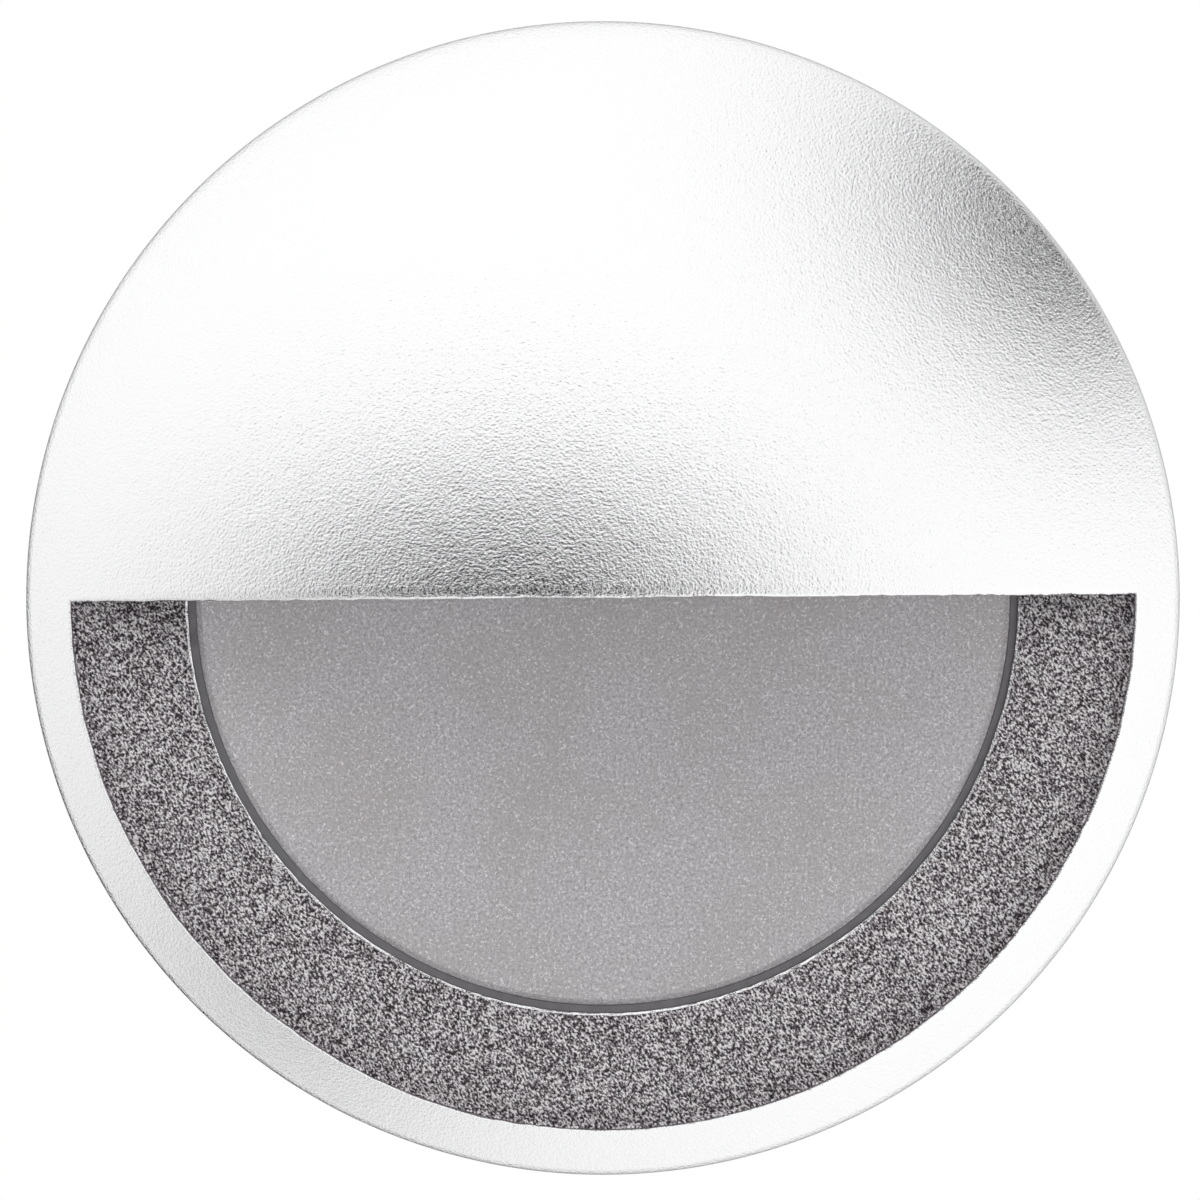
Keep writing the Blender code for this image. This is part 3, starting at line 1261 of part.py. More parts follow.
def main():
    start_scene()
    finishes = {
        "cast": finish("cast_aluminium", (0.80, 0.80, 0.80), 0.35, 1.0),
        "glass": finish("frosted_glass", (0.64, 0.63, 0.64), 0.65),
        "rubber": finish("black_rubber", (0.10, 0.10, 0.10), 0.80),
        "silicone": finish("grey_silicone", (0.36, 0.35, 0.36), 0.60),
        "steel": finish("zinc_plated_steel", (0.74, 0.74, 0.72), 0.35, 1.0),
        "spring steel": finish("spring_steel", (0.66, 0.65, 0.63), 0.30, 1.0),
        "brass": finish("brass", (0.80, 0.66, 0.35), 0.35, 1.0),
        "white": finish("white_plastic", (0.92, 0.92, 0.90), 0.40),
        "white board": finish("white_board", (0.90, 0.90, 0.88), 0.50),
        "green board": finish("green_board", (0.10, 0.34, 0.20), 0.45),
        "pad": finish("thermal_pad_grey", (0.55, 0.60, 0.68), 0.80),
        "led": finish("led_phosphor", (0.93, 0.80, 0.32), 0.40),
        "ferrite": finish("ferrite", (0.16, 0.16, 0.17), 0.60),
        "winding": finish("winding_tape", (0.86, 0.70, 0.20), 0.45),
        "sleeve": finish("capacitor_sleeve", (0.10, 0.12, 0.22), 0.35),
        "ceramic": finish("fuse_ceramic", (0.85, 0.84, 0.78), 0.50),
        "black": finish("black_plastic", (0.09, 0.09, 0.09), 0.50),
        "red": finish("red_insulation", (0.66, 0.08, 0.06), 0.45),
        "green": finish("green_insulation", (0.16, 0.46, 0.14), 0.45),
    }
    face_casting(finishes["cast"])
    wall_gasket(finishes["rubber"])
    front_glass(finishes["glass"])
    glass_seal(finishes["silicone"])
    o_ring("body_o_ring", LEDGE_RADIUS, SPIGOT_Y + RING_SETBACK, finishes["rubber"])
    housing(finishes["cast"])
    places = [polar(SCREW_CIRCLE, a, FLANGE_REAR_Y + GAP) for a in SCREW_ANGLES]
    screw_set("body_screw", BODY_SCREW_SIZES, places, Y, finishes["steel"])
    light_engine(finishes)
    driver(finishes)
    leads(finishes)
    earth(finishes)
    rear_cover(finishes["cast"])
    ring_y = COVER_Y - COVER_SPIGOT + RING_SETBACK
    o_ring("cover_o_ring", CHAMBER_RADIUS, ring_y, finishes["rubber"])
    head_y = COVER_Y + COVER_THICKNESS - EAR_STEP + GAP
    places = [polar(BOSS_CIRCLE, a, head_y) for a in COVER_ANGLES]
    screw_set("cover_screw", COVER_SCREW_SIZES, places, Y, finishes["steel"])
    gland(finishes["black"], finishes["rubber"])
    clips(finishes)


main()
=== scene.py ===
import math

import bmesh
import bpy
import numpy as np
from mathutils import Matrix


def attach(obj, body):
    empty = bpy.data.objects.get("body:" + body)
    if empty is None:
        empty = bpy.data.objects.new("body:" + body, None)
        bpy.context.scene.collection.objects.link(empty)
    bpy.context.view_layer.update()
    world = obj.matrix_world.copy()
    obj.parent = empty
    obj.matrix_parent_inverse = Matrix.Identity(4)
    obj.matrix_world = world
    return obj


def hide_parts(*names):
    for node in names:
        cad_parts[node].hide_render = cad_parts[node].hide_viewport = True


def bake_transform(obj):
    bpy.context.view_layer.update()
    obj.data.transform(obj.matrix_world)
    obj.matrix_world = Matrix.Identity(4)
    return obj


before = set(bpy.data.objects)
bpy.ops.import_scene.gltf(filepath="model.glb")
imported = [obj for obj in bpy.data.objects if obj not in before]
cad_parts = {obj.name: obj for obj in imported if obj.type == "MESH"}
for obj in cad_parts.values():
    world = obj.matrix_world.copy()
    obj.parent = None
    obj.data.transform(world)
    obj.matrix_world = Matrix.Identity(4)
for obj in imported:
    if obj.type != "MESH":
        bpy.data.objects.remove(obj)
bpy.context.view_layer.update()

# ---- Face casting ----
# The domed disc with its hood, straight lip, rim and sunk shelf, and the neck behind it. It is
# one aluminium die casting, shot-blasted to a silver satin, with coarse grit left on the shelf,
# whose pits have painted shade and highlights.
MM = 0.001  # all sizes are in millimetres, from the wall's face: x right, y into the wall, z up
FACE_RADIUS, FACE_EDGE_Y, EDGE_ROUND = 40.0, -1.5, 0.35
SPHERE_RADIUS, SPHERE_Y = 60.8333, 44.3333  # the dome is a piece of this sphere
HOOD_WALL, WINDOW_RADIUS, SHELF_Y, BORE_RADIUS = 2.2, 36.8, -2.2, 28.75
LIP_ROUND, ROOT_ROUND = 0.20, 0.12
LIP_WAVER = 0.045  # the lip and the rim's edge stray this far from true, as cast edges do
STEADY_ENDS = 14  # the stray dies away over the last fourteenth of a radian before a corner
BURR_WIDTH, BURR_HEIGHT, BURR_RAGGED = 0.28, 0.13, 0.05  # the burr round the bore
BURR_RIDGE = ((0.17, 0.7), (0.09, 1.0), (0.02, 0.55))  # way out from the bore, share of height
BURR_USUAL, BURR_SWING, BURR_LEAST, BURR_MOST = 0.55, 0.5, 0.1, 1.1  # shares of its height
RUBBED_OFF, RUBBED_FROM, RUBBED_OVER = 0.92, 0.35, 0.45  # its share, and where by cos a
UPPER_COLUMNS, LOWER_COLUMNS, DOME_ROWS, HOOD_ROWS, SHELF_ROWS = 470, 410, 52, 12, 5
SMOOTH = math.radians(30)  # a sharper edge is shaded as an edge


def colour(code):
    """The linear colour of an sRGB hex code: c/12.92 below 0.04045, else ((c+0.055)/1.055)^2.4."""
    channels = [int(code[i:i + 2], 16) / 255 for i in (0, 2, 4)]
    return (*[c / 12.92 if c <= 0.04045 else ((c + 0.055) / 1.055) ** 2.4 for c in channels], 1)


def add(tree, kind, inputs=None, to=None, **settings):
    """One shader node with its settings. Inputs are plain values, or sockets to link, and its
    first output is linked to the socket that it goes to."""
    made = tree.nodes.new("ShaderNode" + kind)
    for name, value in settings.items():
        setattr(made, name, value)
    for name, value in (inputs or {}).items():
        if isinstance(value, bpy.types.NodeSocket):
            tree.links.new(value, made.inputs[name])
        else:
            made.inputs[name].default_value = value
    if to is not None:
        tree.links.new(made.outputs[0], to)
    return made


def material(name, **inputs):
    """A new material, its node tree, its Principled shader's inputs and its Object coordinates."""
    made = bpy.data.materials.new(name)
    made.use_nodes = True
    tree = made.node_tree
    shader = tree.nodes["Principled BSDF"].inputs
    for key, value in inputs.items():
        shader[key].default_value = value
    return made, tree, shader, add(tree, "TexCoord").outputs["Object"]


def grain(size):
    """The Scale of a noise whose cells are this many millimetres wide. A grain is 1 to 2 cells."""
    return 1 / (size * MM)


def surface(name, points, wrap_rows=False):
    """A mesh on a grid of points in millimetres, rows by columns.

    Quad (i, j) joins points (i, j), (i, j+1), (i+1, j+1) and (i+1, j). The last column joins the
    first, and so does the last row where rows wrap. Points that coincide, as at a pole, become one.
    """
    rows, columns = points.shape[:2]
    index = np.arange(rows * columns).reshape(rows, columns)
    if wrap_rows:
        index = np.vstack([index, index[:1]])
    index = np.hstack([index, index[:, :1]])
    quads = np.stack([index[:-1, :-1], index[:-1, 1:], index[1:, 1:], index[1:, :-1]], -1)
    mesh = bpy.data.meshes.new(name)
    mesh.vertices.add(rows * columns)
    mesh.vertices.foreach_set("co", (points * MM).astype(np.float32).ravel())
    mesh.loops.add(quads.size)
    mesh.loops.foreach_set("vertex_index", quads.astype(np.int32).ravel())
    mesh.polygons.add(quads.size // 4)
    mesh.polygons.foreach_set("loop_start", np.arange(0, quads.size, 4, dtype=np.int32))
    band = np.repeat(np.arange(quads.shape[0]), quads.shape[1]).astype(np.int32)
    mesh.attributes.new("band", "INT", "FACE").data.foreach_set("value", band)
    mesh.update(calc_edges=True)
    tidy = bmesh.new()
    tidy.from_mesh(mesh)
    bmesh.ops.remove_doubles(tidy, verts=tidy.verts, dist=2e-7)
    bmesh.ops.dissolve_degenerate(tidy, edges=tidy.edges, dist=1e-7)
    bmesh.ops.recalc_face_normals(tidy, faces=tidy.faces)
    tidy.to_mesh(mesh)
    tidy.free()
    mesh.shade_smooth()
    mesh.set_sharp_from_angle(angle=SMOOTH)
    return mesh


def piece(name, mesh, finishes, nodes, body="body"):
    """The finished piece: it takes its materials, stands for its solids and rides on its body."""
    made = bpy.data.objects.new(name, mesh)
    bpy.context.scene.collection.objects.link(made)
    for one in finishes if isinstance(finishes, list) else [finishes]:
        mesh.materials.append(one)
    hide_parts(*nodes)
    if body:
        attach(made, body)
    return made


def turn(profile, columns):
    """Rows of (radius, depth), turned about Y: (r cos a, y, r sin a) for each of the angles a."""
    profile = np.asarray(profile, float)
    radius, depth = profile[:, :1], profile[:, 1:]
    angle = np.asarray(columns)[None, :]
    return np.stack(np.broadcast_arrays(radius * np.cos(angle), depth, radius * np.sin(angle)), -1)


def waver(seed, count, widths):
    """Even noise round a closed edge: random steps, smoothed over each width, up to about ±1."""
    random = np.random.default_rng(seed)
    total = np.zeros(count)
    for width in widths:
        window = np.hanning(width + 2)
        raw = random.normal(size=count)
        smooth = np.fft.irfft(np.fft.rfft(raw) * np.fft.rfft(window, count), count)
        total += smooth / smooth.std()
    return total / (total.std() * 2)


upper = np.linspace(0, math.pi, UPPER_COLUMNS + 1)
lower = np.linspace(math.pi, 2 * math.pi, LOWER_COLUMNS + 1)
columns = np.concatenate([upper, lower])
is_upper = np.arange(len(columns)) <= UPPER_COLUMNS
is_corner = np.isin(np.arange(len(columns)), (0, UPPER_COLUMNS))
stray = waver(11, len(columns), (3, 9, 31)) * LIP_WAVER
stray *= np.clip(np.abs(np.sin(columns)) * STEADY_ENDS, 0, 1)


def sphere_y(x, z, radius):
    """Depth of a sphere about the dome's middle: y = middle - sqrt(radius^2 - x^2 - z^2)."""
    return SPHERE_Y - np.sqrt(radius**2 - x**2 - z**2)


def outline(offset):
    """The window's edge, moved out by an offset s: above, the line z = s, with x = X cos a; below,
    the arc of radius window + s. They meet at the corner X = sqrt((window + s)^2 - s^2)."""
    radius = WINDOW_RADIUS + offset
    corner = np.sqrt(radius**2 - offset**2)
    lean = np.arcsin(offset / radius)
    turned = math.pi - lean + (columns - math.pi) * (math.pi + 2 * lean) / math.pi
    x = np.where(is_upper, corner * np.cos(columns), radius * np.cos(turned))
    z = np.where(is_upper, offset, radius * np.sin(turned))
    return x, z


rows = []  # closed lines of points, from the face's edge in over the dome to the lip's round
edge_angles = np.linspace(0, math.pi / 2, 4)[1:]
edge_x, edge_z = FACE_RADIUS * np.cos(columns), FACE_RADIUS * np.sin(columns)
inner_x, inner_z = outline(LIP_ROUND + stray)
for share in np.linspace(1, 0, DOME_ROWS):
    keep = 1 - share * EDGE_ROUND / FACE_RADIUS
    x = (edge_x * share + inner_x * (1 - share)) * keep
    z = (edge_z * share + inner_z * (1 - share)) * keep
    rows.append((x, sphere_y(x, z, SPHERE_RADIUS), z))
lip_start = len(rows) - 1
for angle in edge_angles:
    x, z = outline(LIP_ROUND * (1 - math.sin(angle)) + stray)
    rows.append((x, sphere_y(x, z, SPHERE_RADIUS) + LIP_ROUND * (1 - math.cos(angle)), z))
lip_end = rows[-1]
hood_radius = SPHERE_RADIUS - HOOD_WALL
shelf_edge = math.sqrt(hood_radius**2 - (SPHERE_Y - SHELF_Y) ** 2)


def blend_row(above, below):
    """One row from the (x, y, z) of the upper columns and of the lower ones. At the lip's ends
    the upper column stays on the lip's corner, so that its fan of faces closes the hood's end."""
    row = [np.where(is_upper, a, b) for a, b in zip(above, below)]
    return tuple(np.where(is_corner, end, side) for end, side in zip(lip_end, row))


# The root, as a round of two steps where the hood's hollow and the rim's wall meet the shelf.
cos, sin = np.cos(columns), np.sin(columns)
root_x = shelf_edge * cos
root_y = sphere_y(root_x, 0, hood_radius)
rise = np.clip((root_y - lip_end[1]) / ROOT_ROUND, 0, 3) / 3
wall = WINDOW_RADIUS * cos, WINDOW_RADIUS * sin
rows.append(blend_row(
    (root_x, root_y - ROOT_ROUND * rise, 0 * cos),
    (wall[0], SHELF_Y - ROOT_ROUND + 0 * cos, wall[1])))
sink = ROOT_ROUND * (1 - math.sqrt(0.5))
inner = (WINDOW_RADIUS - sink) / WINDOW_RADIUS
rows.append(blend_row(
    (root_x, root_y - sink * rise, sink * rise),
    (wall[0] * inner, SHELF_Y - sink + 0 * cos, wall[1] * inner)))
# The shelf below, and the hood's hollow above, which share their rows.
for share in np.linspace(0, 1, HOOD_ROWS + 1)[:-1]:
    low = ROOT_ROUND * rise * (1 - share)
    x = np.sqrt(np.maximum(shelf_edge**2 - low**2, 0)) * cos
    z = low + (shelf_edge * sin) * share
    reach = np.hypot(x, z)
    shrink = np.minimum(1, shelf_edge / reach)
    x, z = x * shrink, z * shrink
    radius = WINDOW_RADIUS - ROOT_ROUND + (shelf_edge - WINDOW_RADIUS + ROOT_ROUND) * share
    rows.append(blend_row(
        (x, sphere_y(x, z, hood_radius), z), (radius * cos, SHELF_Y + 0 * cos, radius * sin)))
# The shelf round the bore, and the burr on the bore's edge, which is rubbed off on the right.
burr = BURR_USUAL + BURR_SWING * waver(5, len(columns), (3, 7, 41))
burr = BURR_HEIGHT * np.clip(burr, BURR_LEAST, BURR_MOST)
burr *= 1 - RUBBED_OFF * np.clip((cos - RUBBED_FROM) / RUBBED_OVER, 0, 1)
ragged = waver(6, len(columns), (3, 5)) * BURR_RAGGED
for radius in np.linspace(shelf_edge, BORE_RADIUS + BURR_WIDTH, SHELF_ROWS):
    rows.append((radius * cos, SHELF_Y + 0 * cos, radius * sin))
for out, lift in BURR_RIDGE:
    radius = BORE_RADIUS + out + ragged * lift
    rows.append((radius * cos, SHELF_Y - burr * lift, radius * sin))
shelf_end = len(rows) - 1
# The bore, the ledge for the glass, the neck, the rim's back with its groove, and the edge.
LEDGE_Y, LEDGE_RADIUS, NECK_Y, NECK_RADIUS = 3.3, 26.2, 8.5, 33.0
GROOVE_INNER, GROOVE_OUTER, GROOVE_DEPTH = 35.2, 38.2, 0.9
BREAK = 0.2  # broken corners of the machined faces
section = [
    (BORE_RADIUS, SHELF_Y + BREAK), (BORE_RADIUS, LEDGE_Y), (LEDGE_RADIUS + BREAK, LEDGE_Y),
    (LEDGE_RADIUS, LEDGE_Y + BREAK), (LEDGE_RADIUS, NECK_Y - BREAK), (LEDGE_RADIUS + BREAK, NECK_Y),
    (NECK_RADIUS - BREAK, NECK_Y), (NECK_RADIUS, NECK_Y - BREAK), (NECK_RADIUS, BREAK),
    (NECK_RADIUS + BREAK, 0), (GROOVE_INNER, 0), (GROOVE_INNER, -GROOVE_DEPTH),
    (GROOVE_OUTER, -GROOVE_DEPTH), (GROOVE_OUTER, 0), (FACE_RADIUS - BREAK, 0),
    (FACE_RADIUS, -BREAK), (FACE_RADIUS, FACE_EDGE_Y + EDGE_ROUND * 0.9),
    (FACE_RADIUS - EDGE_ROUND * 0.10, FACE_EDGE_Y + EDGE_ROUND * 0.45),
    (FACE_RADIUS - EDGE_ROUND * 0.35, FACE_EDGE_Y),
]
grid = np.stack([np.stack(np.broadcast_arrays(*row), -1) for row in rows])
grid = np.concatenate([grid, turn(section, columns)])
face_mesh = surface("face_casting_surface", grid, wrap_rows=True)


def second_finish(mesh, first, last):
    """Gives the second finish to the bands of faces between two rows of points."""
    band = np.zeros(len(mesh.polygons), np.int32)
    mesh.attributes["band"].data.foreach_get("value", band)
    chosen = (band >= first) & (band < last)
    mesh.polygons.foreach_set("material_index", chosen.astype(np.int32))


# Grit, whose colour carries painted shade and highlights, reached all from the lip's round to the
# burr, whose two inner bands are bright.
second_finish(face_mesh, lip_start + len(edge_angles), shelf_end - 2)

# Aluminium die casting, shot-blasted with fine round shot. It gives the eye a bright silver that
# darkens softly where it mirrors something dark, broken there by dimples of 0.2 to 0.4 mm.
satin, tree, shader, place = material("satin_die_cast_aluminium", Metallic=1.0)
shader["Base Color"].default_value = colour("FDFDFE")
dimples = add(
    tree, "TexNoise", {"Vector": place, "Scale": grain(0.20), "Detail": 2.0, "Roughness": 0.6})
swell = add(tree, "TexNoise", {"Vector": place, "Scale": grain(2.2), "Detail": 2.0}).outputs["Fac"]
height = add(tree, "Math", {0: swell, 1: 0.5, 2: dimples.outputs["Fac"]}, operation="MULTIPLY_ADD")
add(tree, "Bump", {"Height": height.outputs[0], "Distance": 0.055 * MM}, to=shader["Normal"])
add(tree, "MapRange", {
    "Value": swell, "From Min": 0.3, "From Max": 0.7, "To Min": 0.05, "To Max": 0.10,
}, to=shader["Roughness"])

# The same aluminium torn by coarse angular grit: worm-like pits of about 0.3 mm, drawn out a little
# along one slant. A dull salt and pepper is painted in its colour: shade dark inside the pits,
# highlights on their edges.
grit, tree, shader, place = material("coarse_blasted_aluminium_painted_pit_shade", Metallic=1.0, Roughness=0.5)
swept = add(tree, "Mapping", {
    "Vector": place, "Rotation": (0, -0.66, 0), "Scale": (1.0, 1.0, 1.45),
}, vector_type="TEXTURE").outputs[0]
pits = add(tree, "TexNoise", {
    "Vector": swept, "Scale": grain(0.14), "Detail": 2.0, "Roughness": 0.5, "Distortion": 0.3,
}).outputs["Fac"]
clumps = add(tree, "TexNoise", {"Vector": place, "Scale": grain(0.7), "Detail": 2.0})
pit_shade_and_glint_mask = add(tree, "Math", {0: clumps.outputs["Fac"], 1: 0.12, 2: pits}, operation="MULTIPLY_ADD")
# The ramp paints shade dark in the pits and highlights bright on their edges, over a mid grey.
tone = add(tree, "ValToRGB", {"Fac": pit_shade_and_glint_mask.outputs[0]}, to=shader["Base Color"]).color_ramp
tone.elements[0].position, tone.elements[0].color = 0.46, colour("433E41")
tone.elements[1].position, tone.elements[1].color = 0.685, colour("FFFCFE")
tone.elements.new(0.56).color = colour("9D979B")
add(tree, "Bump", {"Height": pits, "Distance": 0.10 * MM}, to=shader["Normal"])
piece("face", face_mesh, [satin, grit], ["face_casting"])

# ---- Window glass ----
# A round pane of tempered glass, 4 mm thick, with a ground arris round both faces. Its front is
# blasted to a smooth grey frost, with a few lighter specks from the grit.
GLASS_RADIUS, GLASS_FRONT, GLASS_BACK, ARRIS, ARRIS_EASE = 28.2, -1.9, 2.1, 0.4, 0.04
GLASS_COLUMNS = 256
face_ring = GLASS_RADIUS - ARRIS
section = [
    (0, GLASS_FRONT), (face_ring * 0.5, GLASS_FRONT), (face_ring - ARRIS_EASE, GLASS_FRONT),
    (face_ring + ARRIS_EASE * 0.7, GLASS_FRONT + ARRIS_EASE * 0.3),
    (GLASS_RADIUS - ARRIS_EASE, GLASS_FRONT + ARRIS - ARRIS_EASE),
    (GLASS_RADIUS, GLASS_FRONT + ARRIS), (GLASS_RADIUS, GLASS_BACK - ARRIS),
    (face_ring, GLASS_BACK), (0, GLASS_BACK),
]
around = np.linspace(0, 2 * math.pi, GLASS_COLUMNS, endpoint=False)

# Tempered glass, blasted with fine grit. It gives the eye a matt mid grey that nothing shows
# through. Its pits of 0.05 mm are too fine to show, so they are drawn as grains of 0.2 mm and
# lighter specks, over a faint stain in patches of 9 mm.
frost, tree, shader, place = material("blasted_tempered_glass", Roughness=0.62, IOR=1.52)
specks = add(tree, "TexNoise", {"Vector": place, "Scale": grain(0.14), "Detail": 1.0})
speck = add(tree, "MapRange", {
    "Value": specks.outputs["Fac"], "From Min": 0.61, "From Max": 0.70, "To Max": 0.75})
haze = add(tree, "TexNoise", {
    "Vector": place, "Scale": grain(0.21), "Detail": 4.0, "Roughness": 0.75}).outputs["Fac"]
cloud = add(tree, "MapRange", {"Value": haze, "From Min": 0.34, "From Max": 0.66})
ground = add(tree, "MixRGB", {
    "Fac": cloud.outputs["Result"], "Color1": colour("969395"), "Color2": colour("D6D4D7")})
wiped = add(tree, "TexNoise", {"Vector": place, "Scale": grain(9), "Detail": 3.0})
stain = add(tree, "MapRange", {
    "Value": wiped.outputs["Fac"], "From Min": 0.40, "From Max": 0.70, "To Max": 0.55})
ground = add(tree, "MixRGB", {
    "Fac": stain.outputs["Result"], "Color1": ground.outputs["Color"], "Color2": colour("AFA9A9")})
add(tree, "MixRGB", {
    "Fac": speck.outputs["Result"], "Color1": ground.outputs["Color"], "Color2": colour("F0EEF0"),
}, to=shader["Base Color"])
add(tree, "Bump", {"Height": haze, "Distance": 0.008 * MM}, to=shader["Normal"])
pane = surface("window_glass_surface", turn(section, around))
piece("window_glass", pane, frost, ["front_glass"])

# ---- Glass seal ----
# A bead of grey silicone between the glass and the bore, with a foot under the pane. It was run
# in by hand, so its front edge waves and bulges a little.
SEAL_OUTER, SEAL_INNER, SEAL_FRONT = 28.78, 28.22, -1.62
FOOT_FRONT, FOOT_BACK, FOOT_INNER = 2.4, 3.0, 26.5
SEAL_COLUMNS, SEAL_EASE, SEAL_ROUND = 720, 0.07, 0.1
WAVE_HEIGHT, WAVE_LOW, WAVE_HIGH, BULGE = 0.10, -0.12, 0.25, 0.04
SAG_AT, SAG_OVER, SAG_DEPTH = math.radians(278), math.radians(1.6), 0.12  # the bead's join
around = np.linspace(0, 2 * math.pi, SEAL_COLUMNS, endpoint=False)
section = [
    (SEAL_INNER, FOOT_FRONT), (SEAL_INNER, SEAL_FRONT + SEAL_ROUND),
    (SEAL_INNER + SEAL_EASE, SEAL_FRONT), (SEAL_OUTER - SEAL_EASE, SEAL_FRONT),
    (SEAL_OUTER, SEAL_FRONT + SEAL_ROUND), (SEAL_OUTER, FOOT_BACK),
    (FOOT_INNER, FOOT_BACK), (FOOT_INNER, FOOT_FRONT),
]
bead = turn(section, around)
wave = waver(21, SEAL_COLUMNS, (5, 17, 60))
sag = np.exp(-(((around - SAG_AT) / SAG_OVER) ** 2))
bead[1:5, :, 1] += np.clip(WAVE_HEIGHT * wave, WAVE_LOW, WAVE_HIGH) - SAG_DEPTH * sag
reach = 1 - (BULGE * np.abs(wave) / SEAL_INNER)
bead[1:3, :, 0] *= reach
bead[1:3, :, 2] *= reach


def mottle(tree, shader, place, size, detail, tones, gloss=None, **inputs):
    """Noise in cells of a size in millimetres, which mixes two tones into the base colour and,
    where gloss gives two values, moves the roughness between them."""
    noise = {"Vector": place, "Scale": grain(size), "Detail": detail, **inputs}
    cloud = add(tree, "TexNoise", noise).outputs["Fac"]
    first, second = (colour(tone) for tone in tones)
    add(tree, "MixRGB", {"Fac": cloud, "Color1": first, "Color2": second}, to=shader["Base Color"])
    if gloss:
        low, high = gloss
        add(tree, "MapRange", {
            "Value": cloud, "From Min": 0.3, "From Max": 0.7, "To Min": low, "To Max": high,
        }, to=shader["Roughness"])
    return cloud


# Silicone sealant, smoothed wet and cured. It gives the eye a dull dark grey line, a little paler
# where dust clings to it.
silicone, tree, shader, place = material("cured_grey_silicone", Roughness=0.55)
mottle(tree, shader, place, 0.8, 4.0, ("636163", "7C7A7D"))
bead_mesh = surface("glass_seal_surface", bead, wrap_rows=True)
piece("glass_seal_bead", bead_mesh, silicone, ["glass_seal"])

# ---- Wall gasket ----
# A flat ring of closed-cell black foam, die-cut and pressed into the groove of the rim's back.
# It stands a little proud, so that it seals against the wall.
GASKET = (35.4, 38.0, -0.7, 0.3, 0.15)  # inner and outer radius, front, back, ease


def ring(inner, outer, front, back, ease):
    """A closed ring section (radius, depth): a rectangle whose corners are eased by an arc."""
    quarter = np.linspace(0, math.pi / 2, 4)
    corners = [
        (inner + ease, back - ease, math.pi / 2), (inner + ease, front + ease, math.pi),
        (outer - ease, front + ease, math.pi * 1.5), (outer - ease, back - ease, 0),
    ]
    spots = [
        (r + ease * np.cos(a + quarter), y + ease * np.sin(a + quarter)) for r, y, a in corners]
    return np.concatenate([np.stack(spot, -1) for spot in spots])


# Rubber foam with closed cells, cut through by the die. It gives the eye a dead matt black,
# pricked all over by cut cells of 0.35 mm.
fine = np.linspace(0, 2 * math.pi, 288, endpoint=False)
foam, tree, shader, place = material("closed_cell_foam", Roughness=0.9)
cells = add(tree, "TexVoronoi", {"Vector": place, "Scale": grain(0.35)}).outputs["Distance"]
add(tree, "MixRGB", {
    "Fac": cells, "Color1": colour("262627"), "Color2": colour("131314")}, to=shader["Base Color"])
add(tree, "Bump", {"Height": cells, "Strength": 0.6, "Distance": 0.05 * MM}, to=shader["Normal"])
gasket_mesh = surface("wall_gasket_surface", turn(ring(*GASKET), fine), wrap_rows=True)
piece("wall_gasket_ring", gasket_mesh, foam, ["wall_gasket"])

# ---- Housing ----
# A die-cast aluminium cup that screws to the neck from behind. It has a flange with a way for
# each wing, upright cooling fins, flats for the clips and three bosses for the rear cover.
CORE, CHAMBER, SPIGOT, FLANGE = 26.2, 23.0, 25.9, 33.0
FLAT_X, NOTCH_X, NOTCH_HALF, NOTCH_ROUND = 24.9, 27.2, 6.2, 0.4
FIN_TIP, FIN_HALF, FIN_ROOT_ROUND, FIN_TIP_ROUND, SLOPE_TIP = 32.5, 0.75, 0.5, 0.35, 28.0
BOSS_CIRCLE, BOSS_RADIUS = 29.0, 3.4
SPIGOT_Y, BODY_RING_Y, FLANGE_Y, FLANGE_BACK = 5.3, 6.9, 8.8, 11.8
PARTITION_Y, PARTITION_BACK, FLAT_FRONT, FLAT_BACK = 22.0, 27.0, 19.5, 40.5
BOSS_Y, SLOPE_Y, FIN_END, HOUSING_BACK = 40.0, 43.5, 48.0, 50.0
CHAMFER, FLANGE_FILLET, GROOVE_HALF, RING_GROOVE_DEPTH = 0.3, 0.5, 0.9, 1.5
FINS = [22.5, 37.5, 52.5, 67.5, 112.5, 127.5, 142.5, 157.5]  # degrees round from the right
FINS += [232.5, 247.5, 262.5, 277.5, 292.5, 307.5]
BOSSES, NOTCHES = [90.0, 210.0, 330.0], [0.0, 180.0]
HALF_SPAN = {"notch": 13.5, "fin": 2.75, "boss": 4.0}  # the degrees that each takes of the row
ARC_STEP = 1.6  # degrees between the points of the bare core


def fin_shape(core, tip):
    """Half of a fin's section as (out, across): a root fillet, the side and the tip's round."""
    side = [
        (math.sqrt(core**2 - (FIN_HALF + FIN_ROOT_ROUND) ** 2), FIN_HALF + FIN_ROOT_ROUND),
        (core + FIN_ROOT_ROUND * 0.3, FIN_HALF + FIN_ROOT_ROUND * 0.3),
        (core + FIN_ROOT_ROUND, FIN_HALF), (tip - FIN_TIP_ROUND, FIN_HALF),
        (tip - FIN_TIP_ROUND * 0.3, FIN_HALF - FIN_TIP_ROUND * 0.3),
        (tip, FIN_HALF - FIN_TIP_ROUND),
    ]
    out, across = np.array(side).T
    return np.concatenate([out, out[::-1]]), np.concatenate([-across, across[::-1]])


def boss_shape(radius):
    """A boss's section as (out, across): its circle, from where it leaves the core and round."""
    meet = math.acos((CORE**2 - BOSS_CIRCLE**2 - BOSS_RADIUS**2) / (2 * BOSS_CIRCLE * BOSS_RADIUS))
    angle = np.linspace(-meet, meet, 27)
    return BOSS_CIRCLE + radius * np.cos(angle), radius * np.sin(angle)


def notch_shape(edge):
    """The way through the flange as (out, across): two sides and a floor with tight corners."""
    half = [
        (math.sqrt(edge**2 - NOTCH_HALF**2), NOTCH_HALF), (NOTCH_X + NOTCH_ROUND, NOTCH_HALF),
        (NOTCH_X, NOTCH_HALF - NOTCH_ROUND), (NOTCH_X, NOTCH_HALF / 2),
    ]
    out, across = np.array(half).T
    return np.concatenate([out, out[::-1]]), np.concatenate([-across, across[::-1]])


